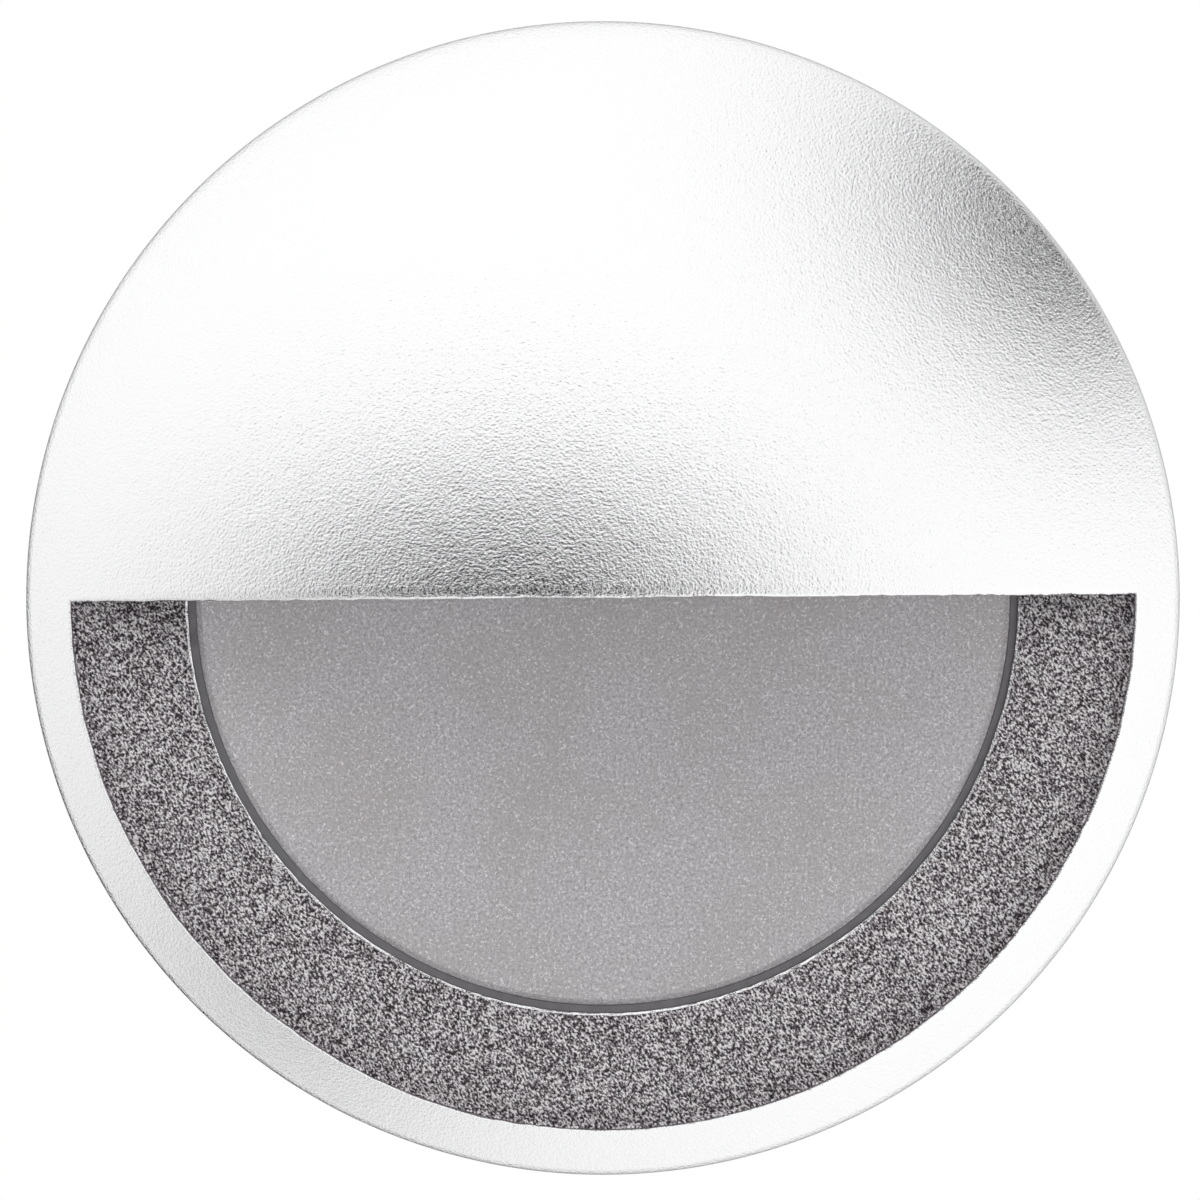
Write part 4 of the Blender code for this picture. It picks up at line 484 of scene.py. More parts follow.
def cast_row(depth, core, features, fin=0.0, boss=0.0, flat=False, notch=False):
    """One closed row round the casting at a depth. Each feature shows its section there, or lies
    on the core circle, r = core, or r = flat / cos a at the flats, at the same angles."""

    def on_core(angle):
        if not flat:
            return np.full(np.shape(angle), core)
        return np.minimum(core, FLAT_X / np.maximum(np.abs(np.cos(angle)), 0.1))

    whole = {
        "fin": fin_shape(CORE, FIN_TIP), "boss": boss_shape(BOSS_RADIUS),
        "notch": notch_shape(FLANGE)}
    here = {
        "fin": fin and fin_shape(core, fin), "boss": boss and boss_shape(boss),
        "notch": notch and notch_shape(core)}
    spots = []
    for (middle, kind), (following, next_kind) in zip(features, features[1:] + features[:1]):
        turned = math.radians(middle)
        out, across = here[kind] or whole[kind]
        if not here[kind]:
            span = math.radians(HALF_SPAN[kind])
            lean = np.linspace(-span, span, len(out))
            if kind == "fin":
                lean = np.arctan2(across, out)
            radius = on_core(turned + lean)
            out, across = radius * np.cos(lean), radius * np.sin(lean)
        spots.append((out * math.cos(turned) - across * math.sin(turned),
                      out * math.sin(turned) + across * math.cos(turned)))
        start = middle + HALF_SPAN[kind]
        end = (following if following > middle else following + 360) - HALF_SPAN[next_kind]
        angle = np.radians(np.linspace(start, end, max(3, round((end - start) / ARC_STEP)))[1:-1])
        spots.append((on_core(angle) * np.cos(angle), on_core(angle) * np.sin(angle)))
    x, z = (np.concatenate(part) for part in zip(*spots))
    return np.stack([x, np.full(len(x), depth), z], -1)


def ring_groove(radius, middle):
    """An O-ring's groove in a spigot: (radius, depth) down, along its floor and up again."""
    front, back, floor = middle - GROOVE_HALF, middle + GROOVE_HALF, radius - RING_GROOVE_DEPTH
    return [(radius, front), (floor, front), (floor, back), (radius, back)]


kinds = [(FINS, "fin"), (BOSSES, "boss"), (NOTCHES, "notch")]
features = sorted((angle, kind) for angles, kind in kinds for angle in angles)
plain = [
    (0.0, PARTITION_Y), (CHAMBER - CHAMFER, PARTITION_Y), (CHAMBER, PARTITION_Y - CHAMFER),
    (CHAMBER, SPIGOT_Y + CHAMFER), (CHAMBER + CHAMFER, SPIGOT_Y), (SPIGOT - CHAMFER, SPIGOT_Y),
    (SPIGOT, SPIGOT_Y + CHAMFER), *ring_groove(SPIGOT, BODY_RING_Y), (SPIGOT, FLANGE_Y),
]
rows = [cast_row(y, r, features) for r, y in plain]
flanged, finned, bossed = {"notch": True}, {"fin": FIN_TIP}, {"boss": BOSS_RADIUS}
rows += [cast_row(y, r, features, **shown) for y, r, shown in [
    (FLANGE_Y, FLANGE - CHAMFER, flanged),
    (FLANGE_Y + CHAMFER, FLANGE, flanged),
    (FLANGE_BACK - CHAMFER, FLANGE, flanged),
    (FLANGE_BACK, FLANGE - CHAMFER, flanged),
    (FLANGE_BACK, CORE + FLANGE_FILLET, finned),
    (FLANGE_BACK + FLANGE_FILLET * 0.3, CORE + FLANGE_FILLET * 0.3, finned),
    (FLANGE_BACK + FLANGE_FILLET, CORE, finned),
    (FLAT_FRONT, CORE, finned),
    (FLAT_FRONT, CORE, {**finned, "flat": True}),
    (BOSS_Y, CORE, {**finned, "flat": True}),
    (BOSS_Y, CORE, {**finned, "flat": True, "boss": BOSS_RADIUS - CHAMFER}),
    (BOSS_Y + CHAMFER, CORE, {**finned, **bossed, "flat": True}),
    (FLAT_BACK, CORE, {**finned, **bossed, "flat": True}),
    (FLAT_BACK, CORE, {**finned, **bossed}),
    (SLOPE_Y, CORE, {**finned, **bossed}),
    (FIN_END - CHAMFER, CORE, {**bossed, "fin": SLOPE_TIP + CHAMFER}),
    (FIN_END, CORE, {**bossed, "fin": SLOPE_TIP - CHAMFER}),
    (FIN_END, CORE, bossed),
    (HOUSING_BACK - CHAMFER, CORE, bossed),
    (HOUSING_BACK, CORE - CHAMFER, {"boss": BOSS_RADIUS - CHAMFER}),
]]
plain = [
    (CHAMBER + CHAMFER, HOUSING_BACK), (CHAMBER, HOUSING_BACK - CHAMFER),
    (CHAMBER, PARTITION_BACK + CHAMFER), (CHAMBER - CHAMFER, PARTITION_BACK), (0.0, PARTITION_BACK),
]
rows += [cast_row(y, r, features) for r, y in plain]
housing_mesh = surface("housing_surface", np.stack(rows))

# As-cast aluminium, tumbled. It gives the eye a duller grey silver than the face, with soft flow
# marks 9 mm wide and a fine skin of 0.5 mm.
cast, tree, shader, place = material("tumbled_die_cast_aluminium", Metallic=1.0)
mottle(tree, shader, place, 9, 4.0, ("C9CACC", "DDDEDF"), (0.36, 0.48), Distortion=1.0)
skin = add(
    tree, "TexNoise", {"Vector": place, "Scale": grain(0.5), "Detail": 3.0, "Roughness": 0.6})
add(tree, "Bump", {"Height": skin.outputs["Fac"], "Distance": 0.03 * MM}, to=shader["Normal"])
piece("finned_housing", housing_mesh, cast, ["housing"])

# ---- Rear cover ----
# A round die-cast lid with three screw ears and a spigot that carries its O-ring. The cable gland
# passes through the hole in its middle.
COVER_Y, COVER_BACK, EAR_BACK, COVER_SPIGOT_Y, COVER_RING_Y = 50.3, 53.3, 52.9, 46.3, 47.9
COVER_SPIGOT, COVER_SPIGOT_INNER, GLAND_HOLE, HOLE_CHAMFER = 22.7, 20.0, 6.15, 0.2
RING_PITCH = 0.5
ears = [(a, "boss") for a in BOSSES]
plain = [
    (GLAND_HOLE, COVER_BACK - HOLE_CHAMFER), (GLAND_HOLE, COVER_Y + HOLE_CHAMFER),
    (GLAND_HOLE + HOLE_CHAMFER, COVER_Y), (COVER_SPIGOT_INNER, COVER_Y),
    (COVER_SPIGOT_INNER, COVER_SPIGOT_Y), (COVER_SPIGOT - CHAMFER, COVER_SPIGOT_Y),
    (COVER_SPIGOT, COVER_SPIGOT_Y + CHAMFER), *ring_groove(COVER_SPIGOT, COVER_RING_Y),
    (COVER_SPIGOT, COVER_Y),
]
rows = [cast_row(y, r, ears) for r, y in plain]
rows += [cast_row(y, r, ears, **shown) for y, r, shown in [
    (COVER_Y, CORE - CHAMFER, {"boss": BOSS_RADIUS - CHAMFER}),
    (COVER_Y + CHAMFER, CORE, bossed),
    (EAR_BACK - CHAMFER, CORE, bossed),
    (EAR_BACK, CORE, {"boss": BOSS_RADIUS - CHAMFER}),
    (EAR_BACK, CORE, {}),
    (COVER_BACK - CHAMFER, CORE, {}),
    (COVER_BACK - CHAMFER * 0.3, CORE - CHAMFER * 0.3, {}),
    (COVER_BACK, CORE - CHAMFER, {}),
    (COVER_BACK, GLAND_HOLE + HOLE_CHAMFER, {}),
]]

# The cover's back is faced in a lathe after casting. It gives the eye fine rings that a highlight
# runs across as a bow tie. Real ones are 0.1 mm apart, too fine to show, so these are 0.5 mm.
turned, tree, shader, place = material("lathe_turned_aluminium", Metallic=1.0)
shader["Base Color"].default_value = colour("D6D7D9")
rings = add(tree, "TexWave", {
    "Vector": place, "Scale": 0.1 * math.pi / (RING_PITCH * MM), "Distortion": 0.6, "Detail": 2.0,
}, wave_type="RINGS", rings_direction="Y").outputs["Fac"]
add(tree, "MapRange", {"Value": rings, "To Min": 0.26, "To Max": 0.38}, to=shader["Roughness"])
add(tree, "Bump", {"Height": rings, "Distance": 0.006 * MM}, to=shader["Normal"])
cover_mesh = surface("rear_cover_surface", np.stack(rows), wrap_rows=True)
second_finish(cover_mesh, len(rows) - 2, len(rows) - 1)
piece("cover_lid", cover_mesh, [cast, turned], ["rear_cover"])

# ---- Cable gland ----
# A moulded black nylon gland: a hexagonal body through the cover, a flat rubber washer under it,
# and a dome nut that squeezes a rubber sleeve round the cable.
ACROSS_FLATS, GLAND_COLUMNS = 17.0, 192
NUT_TOP, NUT_BACK, MOUTH, MOUTH_ROUND, CROWN = 66.4, 71.2, 3.6, 0.25, 8.25
GLAND_WASHER, GLAND_SLEEVE = (6.15, 8.5, 53.6, 54.6, 0.15), (3.4, 5.0, 59.7, 66.6, 0.2)


def hexagon(limits, across_flats):
    """Rows of a chamfered hexagon: r = min(limit, half the flats / cos of the angle to a flat)."""
    angle = np.linspace(0, 2 * math.pi, GLAND_COLUMNS, endpoint=False)
    flat = across_flats / 2 / np.cos(angle % (math.pi / 3) - math.pi / 6)
    limit, depth = np.array(limits).T[..., None]
    radius = np.minimum(flat, limit)
    return np.stack(np.broadcast_arrays(radius * np.cos(angle), depth, radius * np.sin(angle)), -1)


gland = [  # (radius, depth) from the mouth inside the cover, over the hexagon, to the bore
    (3.6, 46.1), (5.7, 46.1), (6.0, 46.4), (6.0, 54.9), (9.1, 54.9), (9.75, 55.25), (9.75, 58.75),
    (9.1, 59.1), (6.8, 59.1), (6.8, 66.3), (6.5, 66.6), (5.15, 66.6), (5.15, 59.3), (3.6, 59.3),
]
nut = [(6.95, 59.4), (9.1, 59.4), (9.75, 59.8), (9.75, 66.0), (9.1, 66.4), (CROWN, NUT_TOP)]
inner = MOUTH + MOUTH_ROUND
lift = np.linspace(0.06, math.pi / 2, 12)  # the crown: a quarter of an ellipse in to the mouth
nut += [(inner + (CROWN - inner) * math.cos(a), NUT_TOP + (NUT_BACK - NUT_TOP) * math.sin(a))
        for a in lift]
nut += [(MOUTH + 0.08, NUT_BACK - 0.08), (MOUTH, NUT_BACK - MOUTH_ROUND), (MOUTH, 68.2)]
nut += [(6.95, 66.95)]

# Nylon from a spark-eroded mould. It gives the eye a soft black sheen over a fine even texture,
# which is drawn 0.25 mm wide, coarser than it is, so that it shows.
nylon, tree, shader, place = material("moulded_black_nylon", Roughness=0.42)
skin = mottle(tree, shader, place, 0.25, 2.0, ("151515", "202021"))
add(tree, "Bump", {"Height": skin, "Strength": 0.6, "Distance": 0.01 * MM}, to=shader["Normal"])
for name, node, profile in (("body_moulding", "body", gland), ("dome_nut", "nut", nut)):
    mesh = surface(f"gland_{node}_surface", hexagon(profile, ACROSS_FLATS), wrap_rows=True)
    piece(f"gland_{name}", mesh, nylon, [f"gland_{node}"])

# Nitrile rubber from a smooth mould. It gives the eye a matt black with a faint grey bloom.
rubber, tree, shader, place = material("moulded_black_rubber", Roughness=0.7)
mottle(tree, shader, place, 1.5, 4.0, ("161616", "262626"))
for name, node, sizes in (
        ("washer_ring", "washer", GLAND_WASHER), ("sleeve", "seal", GLAND_SLEEVE)):
    mesh = surface(f"gland_{node}_surface", turn(ring(*sizes), fine), wrap_rows=True)
    piece(f"gland_{name}", mesh, rubber, [f"gland_{node}"])

# ---- Screws ----
# Zinc-plated steel screws with round heads and hex sockets: three hold the housing to the neck,
# three the cover to the housing, and one each clip to its flat.
SCREW_COLUMNS, SCREW_CIRCLE, SCREW_TIP, GAP = 48, 29.804, 0.3, 0.3
BODY_SCREW, COVER_SCREW = (1.5, 7.2, 2.7, 1.8), (1.5, 9.5, 2.7, 1.8)  # radius, length, and the
CLIP_SCREW = (1.25, 6.0, 2.3, 1.5)  # head's radius and height
HEAD_SIDE = [(0.96, 0), (1, 0.06), (1, 0.40), (0.985, 0.58), (0.93, 0.76), (0.84, 0.90)]
HEAD_SIDE += [(0.72, 0.975), (0.62, 1)]  # as shares of the head's radius and height
SOCKET = [(0.54, 1), (0.50, 0.95), (0.50, 0.50), (0.0, 0.42)]


def screw(shank, length, head, height, where, way):
    """A screw along a level way: rows (radius, height) turned about it, with radii cut to a
    hexagon in the socket, r = corner * cos 30 / cos of the angle to a flat."""
    shell = [(0.0, -length), (shank * 0.8, -length), (shank, -length + SCREW_TIP), (shank, 0)]
    shell += [(head * r, height * h) for r, h in HEAD_SIDE]
    socket = [(head * r, height * h) for r, h in SOCKET]
    angle = np.linspace(0, 2 * math.pi, SCREW_COLUMNS, endpoint=False)
    flat = math.cos(math.pi / 6) / np.cos(angle % (math.pi / 3) - math.pi / 6)
    round_rows = np.outer([r for r, _ in shell], np.ones(SCREW_COLUMNS))
    radius = np.concatenate([round_rows, np.outer([r for r, _ in socket], flat)])[..., None]
    lift = np.array([h for _, h in shell + socket])[:, None, None]
    way = np.array(way, float)
    side = np.cross(way, (0, 0, 1))
    other = np.cross(way, side)
    across = radius * (np.cos(angle)[None, :, None] * side + np.sin(angle)[None, :, None] * other)
    return np.array(where, float) + across + lift * way


# Steel, zinc-plated and passivated. It gives the eye a cool bright grey, blurred and patchy.
zinc, tree, shader, place = material("zinc_plated_steel", Metallic=1.0)
mottle(tree, shader, place, 2.5, 3.0, ("BFC2C4", "D6D7D4"), (0.24, 0.36))
SCREWS = {  # sizes, angles, circle and the face that the heads hold
    "body": (BODY_SCREW, [30, 150, 270], SCREW_CIRCLE, FLANGE_BACK),
    "cover": (COVER_SCREW, BOSSES, BOSS_CIRCLE, EAR_BACK),
}
for name, (sizes, angles, circle, seat) in SCREWS.items():
    for number, angle in enumerate(np.radians(angles), start=1):
        where = (circle * math.cos(angle), seat + GAP, circle * math.sin(angle))
        mesh = surface(f"{name}_screw_{number}_surface", screw(*sizes, where, (0, 1, 0)))
        node = f"{name}_screw_{number}"
        piece(f"{name}_cap_screw_{number}", mesh, zinc, [node])

# ---- Spring clips ----
# On each side, a bent steel bracket screwed to a flat, a pin, a folded spring-steel wing that
# grips the wall board from behind, and a coil spring round the pin that pushes it out.
PIVOT_X, PIVOT_Y, BRACKET_TOP_X, SHEET, CLIP_SCREW_Y = 29.0086, 35.5, 26.2, 1.0, 24.5
PIN_RADIUS, PIN_HEAD, PIN_HEAD_HEIGHT, PIN_HALF = 1.1, 1.8, 0.7, 6.8
WIRE_RADIUS, COIL_RADIUS, COIL_PITCH, LEG_LENGTH, LEG_BEND = 0.4, 2.0, 1.25, 5.8, 0.5
OPEN_ANGLE = math.radians(14)
COIL_TURNS = 4.5 - OPEN_ANGLE / (2 * math.pi)
WING_OUTSIDE, WIRE_END = 3.5, 0.1
FOLD_EASE, PAD_EASE = 0.12, 0.1
SIDES = {"right": 1, "left": -1}


def half_turn(points, side):
    """The left clip is the right one turned half round Y: (x, y, z) becomes (-x, y, -z)."""
    return points * np.array([side, 1, side])


def spring_path():
    """The spring's middle line about the pin: the wing's leg, a helix (R cos a, R sin a, -pitch
    a / 2 pi) and the bracket's leg, with quarter bends of radius b into both sheets."""
    half = COIL_PITCH * COIL_TURNS / 2
    lap = np.linspace(0, math.pi / 2, 7)
    out, back = LEG_BEND * (1 - np.sin(lap)), LEG_BEND * (1 - np.cos(lap))
    top = np.stack([COIL_RADIUS + out, -LEG_LENGTH + back, half + 0 * lap], -1)
    foot, knee = [WING_OUTSIDE - WIRE_END, -LEG_LENGTH, half], [COIL_RADIUS, -LEG_LENGTH / 2, half]
    top = np.concatenate([[foot], top, [knee]])
    c, s = math.cos(OPEN_ANGLE), math.sin(OPEN_ANGLE)
    turned = np.array([[c, s, 0], [-s, c, 0], [0, 0, 1]])
    angle = np.linspace(0, 2 * math.pi * COIL_TURNS, 150)
    x, y = COIL_RADIUS * np.cos(OPEN_ANGLE + angle), COIL_RADIUS * np.sin(OPEN_ANGLE + angle)
    coil = np.stack([x, y, half - COIL_PITCH * angle / (2 * math.pi)], -1)
    low = np.stack([-COIL_RADIUS - back, -LEG_LENGTH + out, -half + 0 * lap], -1)
    foot = [BRACKET_TOP_X - SHEET + WIRE_END - PIVOT_X, -LEG_LENGTH, -half]
    low = np.concatenate([[[-COIL_RADIUS, -LEG_LENGTH / 2, -half]], low, [foot]])
    return np.concatenate([top @ turned, coil, low]) + np.array([PIVOT_X, PIVOT_Y, 0]), half


def tube(path, radius, sides=12):
    """A round tube: at each point of the path, a circle across its tangent. The circle's first
    axis is carried on from point to point with the least turn, and both ends close to a point."""
    way = np.gradient(path, axis=0)
    way /= np.linalg.norm(way, axis=1, keepdims=True)
    across = np.empty_like(path)
    across[0] = np.cross(way[0], (0.3, 0.2, 1.0))
    for i in range(len(path)):
        across[i] = across[max(i - 1, 0)] - way[i] * (across[max(i - 1, 0)] @ way[i])
        across[i] /= np.linalg.norm(across[i])
    other = np.cross(way, across)
    angle = np.linspace(0, 2 * math.pi, sides, endpoint=False)[None, :, None]
    circle = np.cos(angle) * across[:, None] + np.sin(angle) * other[:, None]
    ends = [np.repeat(path[i][None, None], sides, 1) for i in (0, -1)]
    return np.concatenate([ends[0], path[:, None] + radius * circle, ends[1]])


def eased_copy(node):
    """A copy of a folded or wound solid, merged to whole faces, so that a bevel can ease it."""
    tidy = bmesh.new()
    tidy.from_mesh(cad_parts[node].data)
    bmesh.ops.remove_doubles(tidy, verts=tidy.verts, dist=1e-6)
    bmesh.ops.dissolve_limit(tidy, angle_limit=math.radians(1), verts=tidy.verts, edges=tidy.edges)
    mesh = bpy.data.meshes.new(f"{node}_surface")
    tidy.to_mesh(mesh)
    tidy.free()
    mesh.materials.clear()
    return mesh


def add_bevel(made, width):
    """Eases every edge sharper than 25 degrees by a bevel of two steps."""
    bevel = made.modifiers.new("eased_edges", "BEVEL")
    bevel.width, bevel.segments = width * MM, 2
    bevel.limit_method, bevel.angle_limit = "ANGLE", math.radians(25)
    bevel.harden_normals = True
    made.data.shade_smooth()
    made.data.set_sharp_from_angle(angle=SMOOTH)


# Cold-rolled spring steel. It gives the eye a darker grey with fine straight lines, left by the
# rolls and the die. Real ones are too fine to show, so these are 0.2 mm apart.
spring_steel, tree, shader, place = material("rolled_spring_steel", Metallic=1.0)
along = add(tree, "Mapping", {"Vector": place, "Scale": (1.0, 0.02, 1.0)}).outputs[0]
mottle(tree, shader, along, 0.20, 4.0, ("B1B2B3", "C2C2C3"), (0.25, 0.36))
PIN_TOP = PIN_HALF + PIN_HEAD_HEIGHT
pin_end = [
    (0.0, PIN_TOP), (PIN_HEAD * 0.55, PIN_TOP), (PIN_HEAD * 0.85, PIN_HALF + PIN_HEAD_HEIGHT * 0.8),
    (PIN_HEAD, PIN_HALF + PIN_HEAD_HEIGHT * 0.45), (PIN_HEAD, PIN_HALF + 0.1),
    (PIN_HEAD * 0.94, PIN_HALF), (PIN_RADIUS, PIN_HALF),
]
pin_profile = pin_end + [(r, -z) for r, z in pin_end[::-1]]
pin = turn(pin_profile, np.linspace(0, 2 * math.pi, 40, endpoint=False))[..., [0, 2, 1]]
pin += np.array([PIVOT_X, PIVOT_Y, 0])
path, half = spring_path()
for name, side in SIDES.items():
    wing = f"wing_{name}"
    for part, body, finish, slot in (
            ("bracket", "body", zinc, "zinc_plated_steel"),
            ("wing", wing, spring_steel, "spring_steel")):
        node = f"clip_{part}_{name}"
        sheet = piece(f"folded_{part}_{name}", eased_copy(node), finish, [node], body)
        add_bevel(sheet, FOLD_EASE)
    mesh = surface(f"clip_pin_{name}_surface", half_turn(pin, side))
    piece(f"riveted_pin_{name}", mesh, zinc, [f"clip_pin_{name}"])
    where = half_turn(np.array([BRACKET_TOP_X + GAP, CLIP_SCREW_Y, 0]), side)
    mesh = surface(f"clip_screw_{name}_surface", screw(*CLIP_SCREW, where, (side, 0, 0)))
    piece(f"clip_cap_screw_{name}", mesh, zinc, [f"clip_screw_{name}"])
    mesh = surface(f"clip_spring_{name}_surface", tube(half_turn(path, side), WIRE_RADIUS))
    node = f"clip_spring_{name}"
    spring = piece(f"coil_spring_{name}", mesh, spring_steel, [node], None)
    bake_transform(spring)

# ---- O-rings, grommet and wires ----
# Moulded rubber O-rings seal the housing in the neck and the cover in the housing. The leads to
# the LED board pass the partition in a rubber grommet, and an earth lead runs to its lug.
RING_SECTION, WIRE_COVER, WIRE_BEND = 0.7, 0.6, 1.7
GROMMET_AT = np.array([0, 0, 18.7])
lap = np.linspace(0, 2 * math.pi, 20, endpoint=False)
for name, radius, depth in (("body", 25.3, BODY_RING_Y), ("cover", 22.1, COVER_RING_Y)):
    section = [radius + RING_SECTION * np.cos(lap), depth + RING_SECTION * np.sin(lap)]
    section = np.stack(section, -1)
    mesh = surface(f"{name}_o_ring_surface", turn(section, fine), wrap_rows=True)
    piece(f"{name}_sealing_ring", mesh, rubber, [f"{name}_o_ring"])
section = [  # (radius, depth): a collar behind the partition, the waist and a collar before it
    (2.0, 28.0), (2.1, 28.1), (3.2, 28.1), (3.4, 27.9), (3.4, 27.4), (3.3, 27.3), (2.8, 27.3),
    (2.8, 21.7), (3.3, 21.7), (3.4, 21.6), (3.4, 21.1), (3.2, 20.9), (2.1, 20.9), (2.0, 21.0),
]
sleeve = turn(section, np.linspace(0, 2 * math.pi, 64, endpoint=False)) + GROMMET_AT
mesh = surface("lead_grommet_surface", sleeve, wrap_rows=True)
piece("partition_grommet", mesh, rubber, ["lead_grommet"])


def bent(corners, radius):
    """A wire's middle line through its corners. Each corner c, come to along u and left along v,
    is rounded by a quarter turn: c + r ((v - u) + u sin a - v cos a)."""
    corners = np.array(corners, float)
    lap = np.linspace(0, math.pi / 2, 10)[:, None]
    line = [corners[:1]]
    for before, corner, after in zip(corners, corners[1:], corners[2:]):
        u, v = ((b - a) / np.linalg.norm(b - a) for a, b in ((before, corner), (corner, after)))
        line.append(corner + radius * ((v - u) + u * np.sin(lap) - v * np.cos(lap)))
    return np.concatenate([*line, corners[-1:]])


WIRES = {  # the node, two tones of its insulation and the corners of its middle line
    "red": ("led_lead_red", ("A0120E", "B41C16"), [
        (-0.9, 19, 14.1), (-0.9, 16, 14.1), (-0.9, 16, 18.7), (-0.9, 32, 18.7)]),
    "black": ("led_lead_black", ("141414", "202020"), [
        (0.9, 19, 14.1), (0.9, 16, 14.1), (0.9, 16, 18.7), (0.9, 32, 18.7)]),
    "green": ("earth_lead", ("256B20", "30802A"), [
        (7.06, 37.17, -15.21), (11.64, 37.17, -15.21), (11.64, 28, -15.21)]),
}
for name, (node, tones, corners) in WIRES.items():
    # Silicone rubber drawn over the strands. It gives the eye an even colour with a dull shine.
    insulation, tree, shader, place = material(f"{name}_silicone_insulation", Roughness=0.45)
    mottle(tree, shader, place, 0.8, 3.0, tones)
    mesh = surface(f"{node}_surface", tube(bent(corners, WIRE_BEND), WIRE_COVER, 20))
    piece(f"{name}_wire", mesh, insulation, [node])

# ---- Light engine and driver ----
# What lies sealed inside: boards, diodes, the reflector cup and the driver's components. Their
# solids are shown as they are, each in its own finish, but the two soft ones have eased edges.
INSIDE = {  # two tones, the size of their mottle in millimetres, roughness, metal and the nodes
    # From a polished mould: a clean white with a soft shine.
    "moulded_white_polycarbonate": (("EDEDE9", "F4F4F1"), 0.8, 0.35, 0.0, ["reflector"]),
    # Printed and cured on the metal core: an eggshell white that hides the copper.
    "white_solder_mask": (("E4E4E0", "ECECE8"), 0.6, 0.45, 0.0, ["led_board"]),
    # The same on glass fibre: a deep green, lighter where copper lies under it.
    "green_solder_mask": (("174A2C", "1F5C38"), 0.7, 0.35, 0.0, ["driver_board"]),
    # Filled silicone, cut from a sheet: a chalky blue grey without any shine.
    "silicone_gap_pad": (("828B98", "959EAB"), 0.4, 0.85, 0.0, ["thermal_pad"]),
    # Cast over the diodes: an egg-yolk yellow, a little glossy.
    "phosphor_in_silicone": (("E6C24A", "F2D567"), 0.3, 0.30, 0.0, ["led_1", "led_2", "led_3"]),
    # Pressed and fired: a charcoal grey, matt and grainy.
    "sintered_ferrite": (("252528", "303033"), 0.3, 0.65, 0.0, ["transformer_core"]),
    # Wound on tight: a smooth amber with a clear gloss.
    "polyester_winding_tape": (("CFA62E", "DCB640"), 1.2, 0.30, 0.0, ["transformer_winding"]),
    # Plastic film shrunk on hot: a dark blue that gleams.
    "shrunk_sleeve": (("151A30", "1E2440"), 1.5, 0.30, 0.0, ["smoothing_capacitor"]),
    # Glazed and fired: an off-white with a glassy shine.
    "glazed_ceramic": (("D4D2C2", "E0DED0"), 0.9, 0.35, 0.0, ["fuse"]),
    # Moulded in a sandblasted tool, as is the gland's nylon locknut: a dull black.
    "moulded_black_epoxy": (
        ("161616", "222222"), 0.3, 0.55, 0.0, ["driver_chip", "terminal_block", "gland_locknut"]),
    # Turned from bar: a warm yellow metal.
    "turned_brass": (("C29A45", "D6B060"), 0.5, 0.30, 1.0, ["earth_screw"]),
}
SOFT = {"thermal_pad": "thermal_pad_grey", "transformer_winding": "winding_tape"}
ZINC_PLATED = ("driver_screw", "led_board_screw", "terminal_screw", "earth_lug")
carried = {node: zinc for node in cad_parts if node.startswith(ZINC_PLATED)}
for name, (tones, size, roughness, metal, nodes) in INSIDE.items():
    made, tree, shader, place = material(name, Roughness=roughness, Metallic=metal)
    mottle(tree, shader, place, size, 3.0, tones)
    for node in nodes:
        if node in SOFT:
            eased = piece(f"{node}_dressed", eased_copy(node), made, [node])
            add_bevel(eased, PAD_EASE)
        else:
            carried[node] = made
for node, finish in carried.items():
    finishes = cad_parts[node].data.materials
    finishes.clear()
    finishes.append(finish)

# ---- Studio ----
# A white room, a pale round table under the light and a long lens straight in front of it. The
# metal mirrors the room alone, which is darker round the lens and in a corner high on the right.
PIXELS, PIXELS_PER_MM, CENTRE_PIXEL = 1200, 14.425, (603, 598)
CAMERA_DISTANCE, SENSOR, ROLL = 900.0, 36, math.radians(0.405)
scene = bpy.context.scene
lens = bpy.data.cameras.new("long_lens")
lens.sensor_width = SENSOR
lens.lens = SENSOR * (CAMERA_DISTANCE + FACE_EDGE_Y) * PIXELS_PER_MM / PIXELS
lens.clip_start = 0.01
camera = bpy.data.objects.new("camera", lens)
camera.location = (
    (PIXELS / 2 - CENTRE_PIXEL[0]) / PIXELS_PER_MM * MM, -CAMERA_DISTANCE * MM,
    (CENTRE_PIXEL[1] - PIXELS / 2) / PIXELS_PER_MM * MM)
camera.rotation_euler = (math.radians(90), ROLL, 0)
scene.collection.objects.link(camera)
scene.camera = camera

ROOM_LEVEL, REAR_DARK, DIFFUSE_WORLD = 1.03, 0.45, 0.34
DARK_SPOTS = [  # the way to its middle, its spread and its depth
    ((-0.12, -1.0, -0.11), (0.148, 0.40, 0.090), 5.6),  # the lens, which the dome shows at the lip
    ((-0.38, -0.92, -0.07), (0.18, 0.40, 0.10), 1.9),  # its stand, to the left along the lip
    ((0.80, -0.03, 0.60), (0.11, 0.14, 0.11), 2.8),  # a corner of the room, high on the right
    ((0.66, -0.22, 0.72), (0.13, 0.13, 0.13), 0.7),  # and its soft side
    ((-0.60, -0.35, -0.72), (0.30, 0.30, 0.30), 0.8),  # the dim ground, low on the left
    ((-0.60, 0.65, -0.40), (0.50, 0.18, 0.50), 1.0),  # and behind, which edges the rim there
]
world = bpy.data.worlds.new("white_room")
world.use_nodes = True
scene.world = world
tree = world.node_tree
tree.nodes.clear()
way = add(tree, "TexCoord").outputs["Generated"]


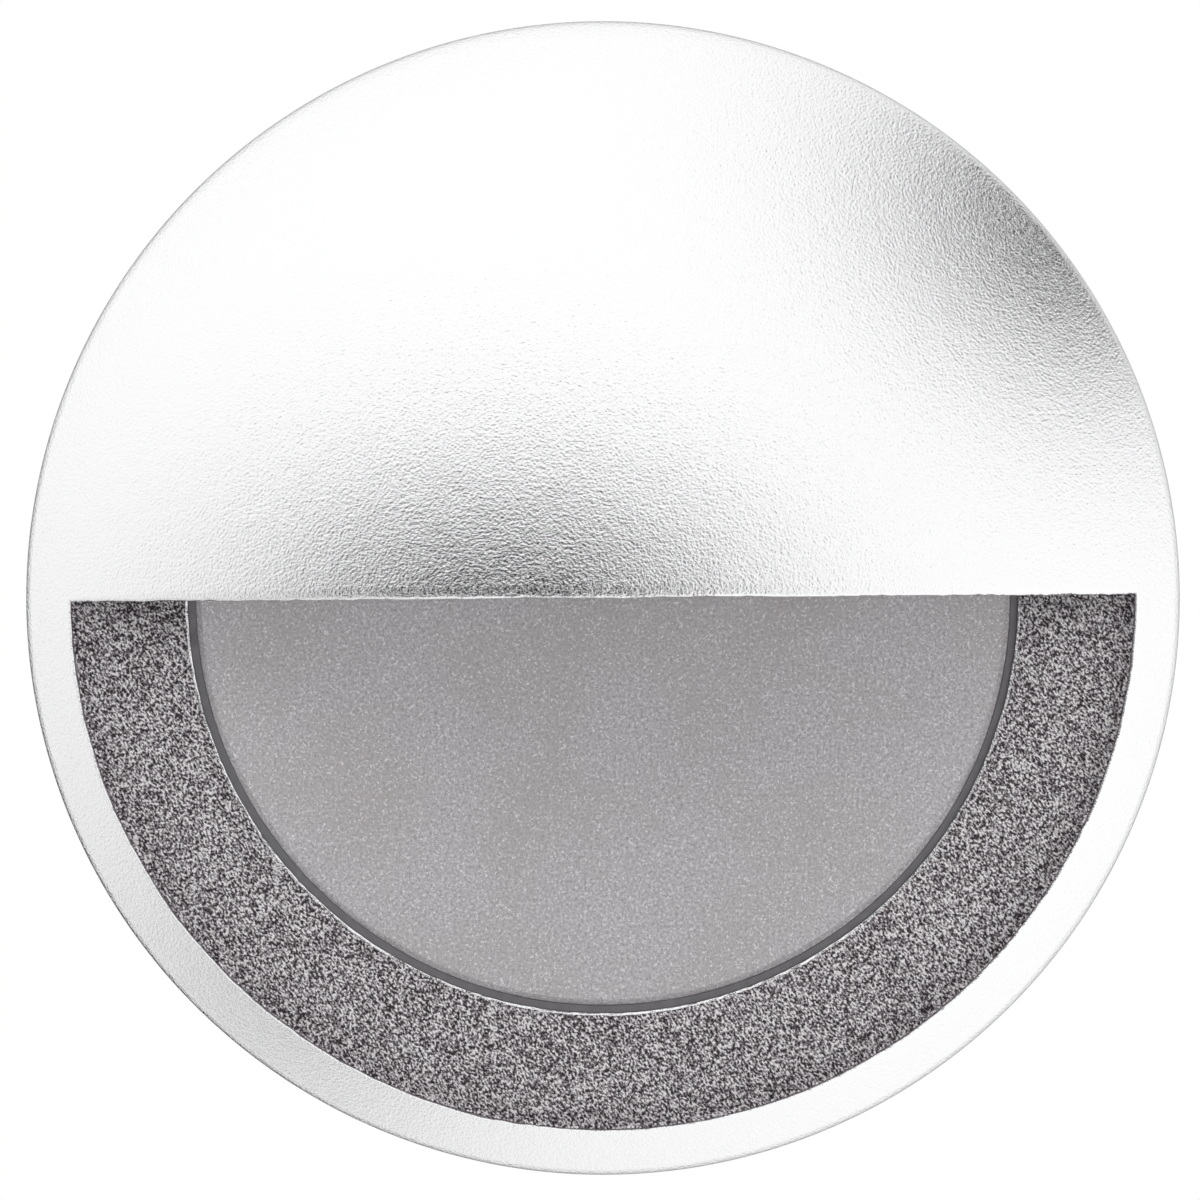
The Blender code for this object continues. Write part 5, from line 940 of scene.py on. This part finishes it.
def dark_spot(middle, spread, depth):
    """How dark a soft spot in the room is, by direction d: depth * e^-|(d - middle) / spread|."""
    away = add(tree, "VectorMath", {0: way, 1: middle}, operation="SUBTRACT").outputs[0]
    scaled = add(tree, "VectorMath", {0: away, 1: spread}, operation="DIVIDE").outputs[0]
    length = add(tree, "VectorMath", {0: scaled}, operation="LENGTH").outputs["Value"]
    negative = add(tree, "Math", {0: length, 1: -1.0}, operation="MULTIPLY").outputs[0]
    falloff = add(tree, "Math", {0: negative}, operation="EXPONENT").outputs[0]
    return add(tree, "Math", {0: falloff, 1: depth}, operation="MULTIPLY").outputs[0]


turned_away = add(tree, "SeparateXYZ", {"Vector": way}).outputs["Y"]
total = add(tree, "MapRange", {
    "Value": turned_away, "From Min": 0.1, "From Max": 0.8, "To Max": REAR_DARK,
}).outputs["Result"]
for spot in DARK_SPOTS:
    total = add(tree, "Math", {0: total, 1: dark_spot(*spot)}, operation="ADD").outputs[0]
bright = add(tree, "Math", {0: ROOM_LEVEL, 1: total}, operation="SUBTRACT").outputs[0]
bright = add(tree, "Math", {0: bright, 1: 0.0}, operation="MAXIMUM").outputs[0]
ray = add(tree, "LightPath").outputs
seen = {0: ray["Is Camera Ray"], 1: ray["Is Transmission Ray"]}
seen = add(tree, "Math", seen, operation="MAXIMUM").outputs[0]
fill = {"Factor": ray["Is Glossy Ray"], "A": DIFFUSE_WORLD, "B": bright}
fill = add(tree, "Mix", fill).outputs["Result"]
level = add(tree, "Mix", {"Factor": seen, "A": fill, "B": 1.0}).outputs["Result"]
room = add(tree, "OutputWorld").inputs["Surface"]
add(tree, "Background", {"Color": (1, 1, 1, 1), "Strength": level}, to=room)

FLOOR_Z, FLOOR_RADIUS = -75.0, 480.0
section = [(0, 0), (FLOOR_RADIUS * 0.5, 0), (FLOOR_RADIUS, 0)]
around = np.linspace(0, 2 * math.pi, 96, endpoint=False)
table = turn(section, around)[..., [0, 2, 1]] + np.array([0, 0, FLOOR_Z])
floor = bpy.data.objects.new("floor", surface("floor_surface", table))
scene.collection.objects.link(floor)

# Matt white laminate. It gives the eye a pale ground that takes a soft shadow and no gleam.
pale, tree, shader, place = material("matt_white_laminate", Roughness=0.9)
shader["Base Color"].default_value = colour("F4F4F4")
floor.data.materials.append(pale)
floor.visible_glossy = False

LAMPS = {  # place in metres, size in metres, and watts, each turned to the object
    "front_fill": ((0.35, -1.5, -0.35), 0.9, 22.0),
    "high_left": ((-1.1, -0.9, 1.3), 1.2, 9.0),
    "high_right": ((1.2, -0.3, 1.2), 1.2, 8.0),
    "rear": ((-0.4, 1.6, 0.9), 1.2, 8.0),
}
for name, (where, size, watts) in LAMPS.items():
    lamp = bpy.data.lights.new(name, "AREA")
    lamp.shape, lamp.size, lamp.energy = "DISK", size, watts
    holder = bpy.data.objects.new(name, lamp)
    holder.location = where
    holder.rotation_euler = holder.location.to_track_quat("Z", "Y").to_euler()
    holder.visible_glossy = False
    scene.collection.objects.link(holder)

scene.view_settings.view_transform = "Standard"
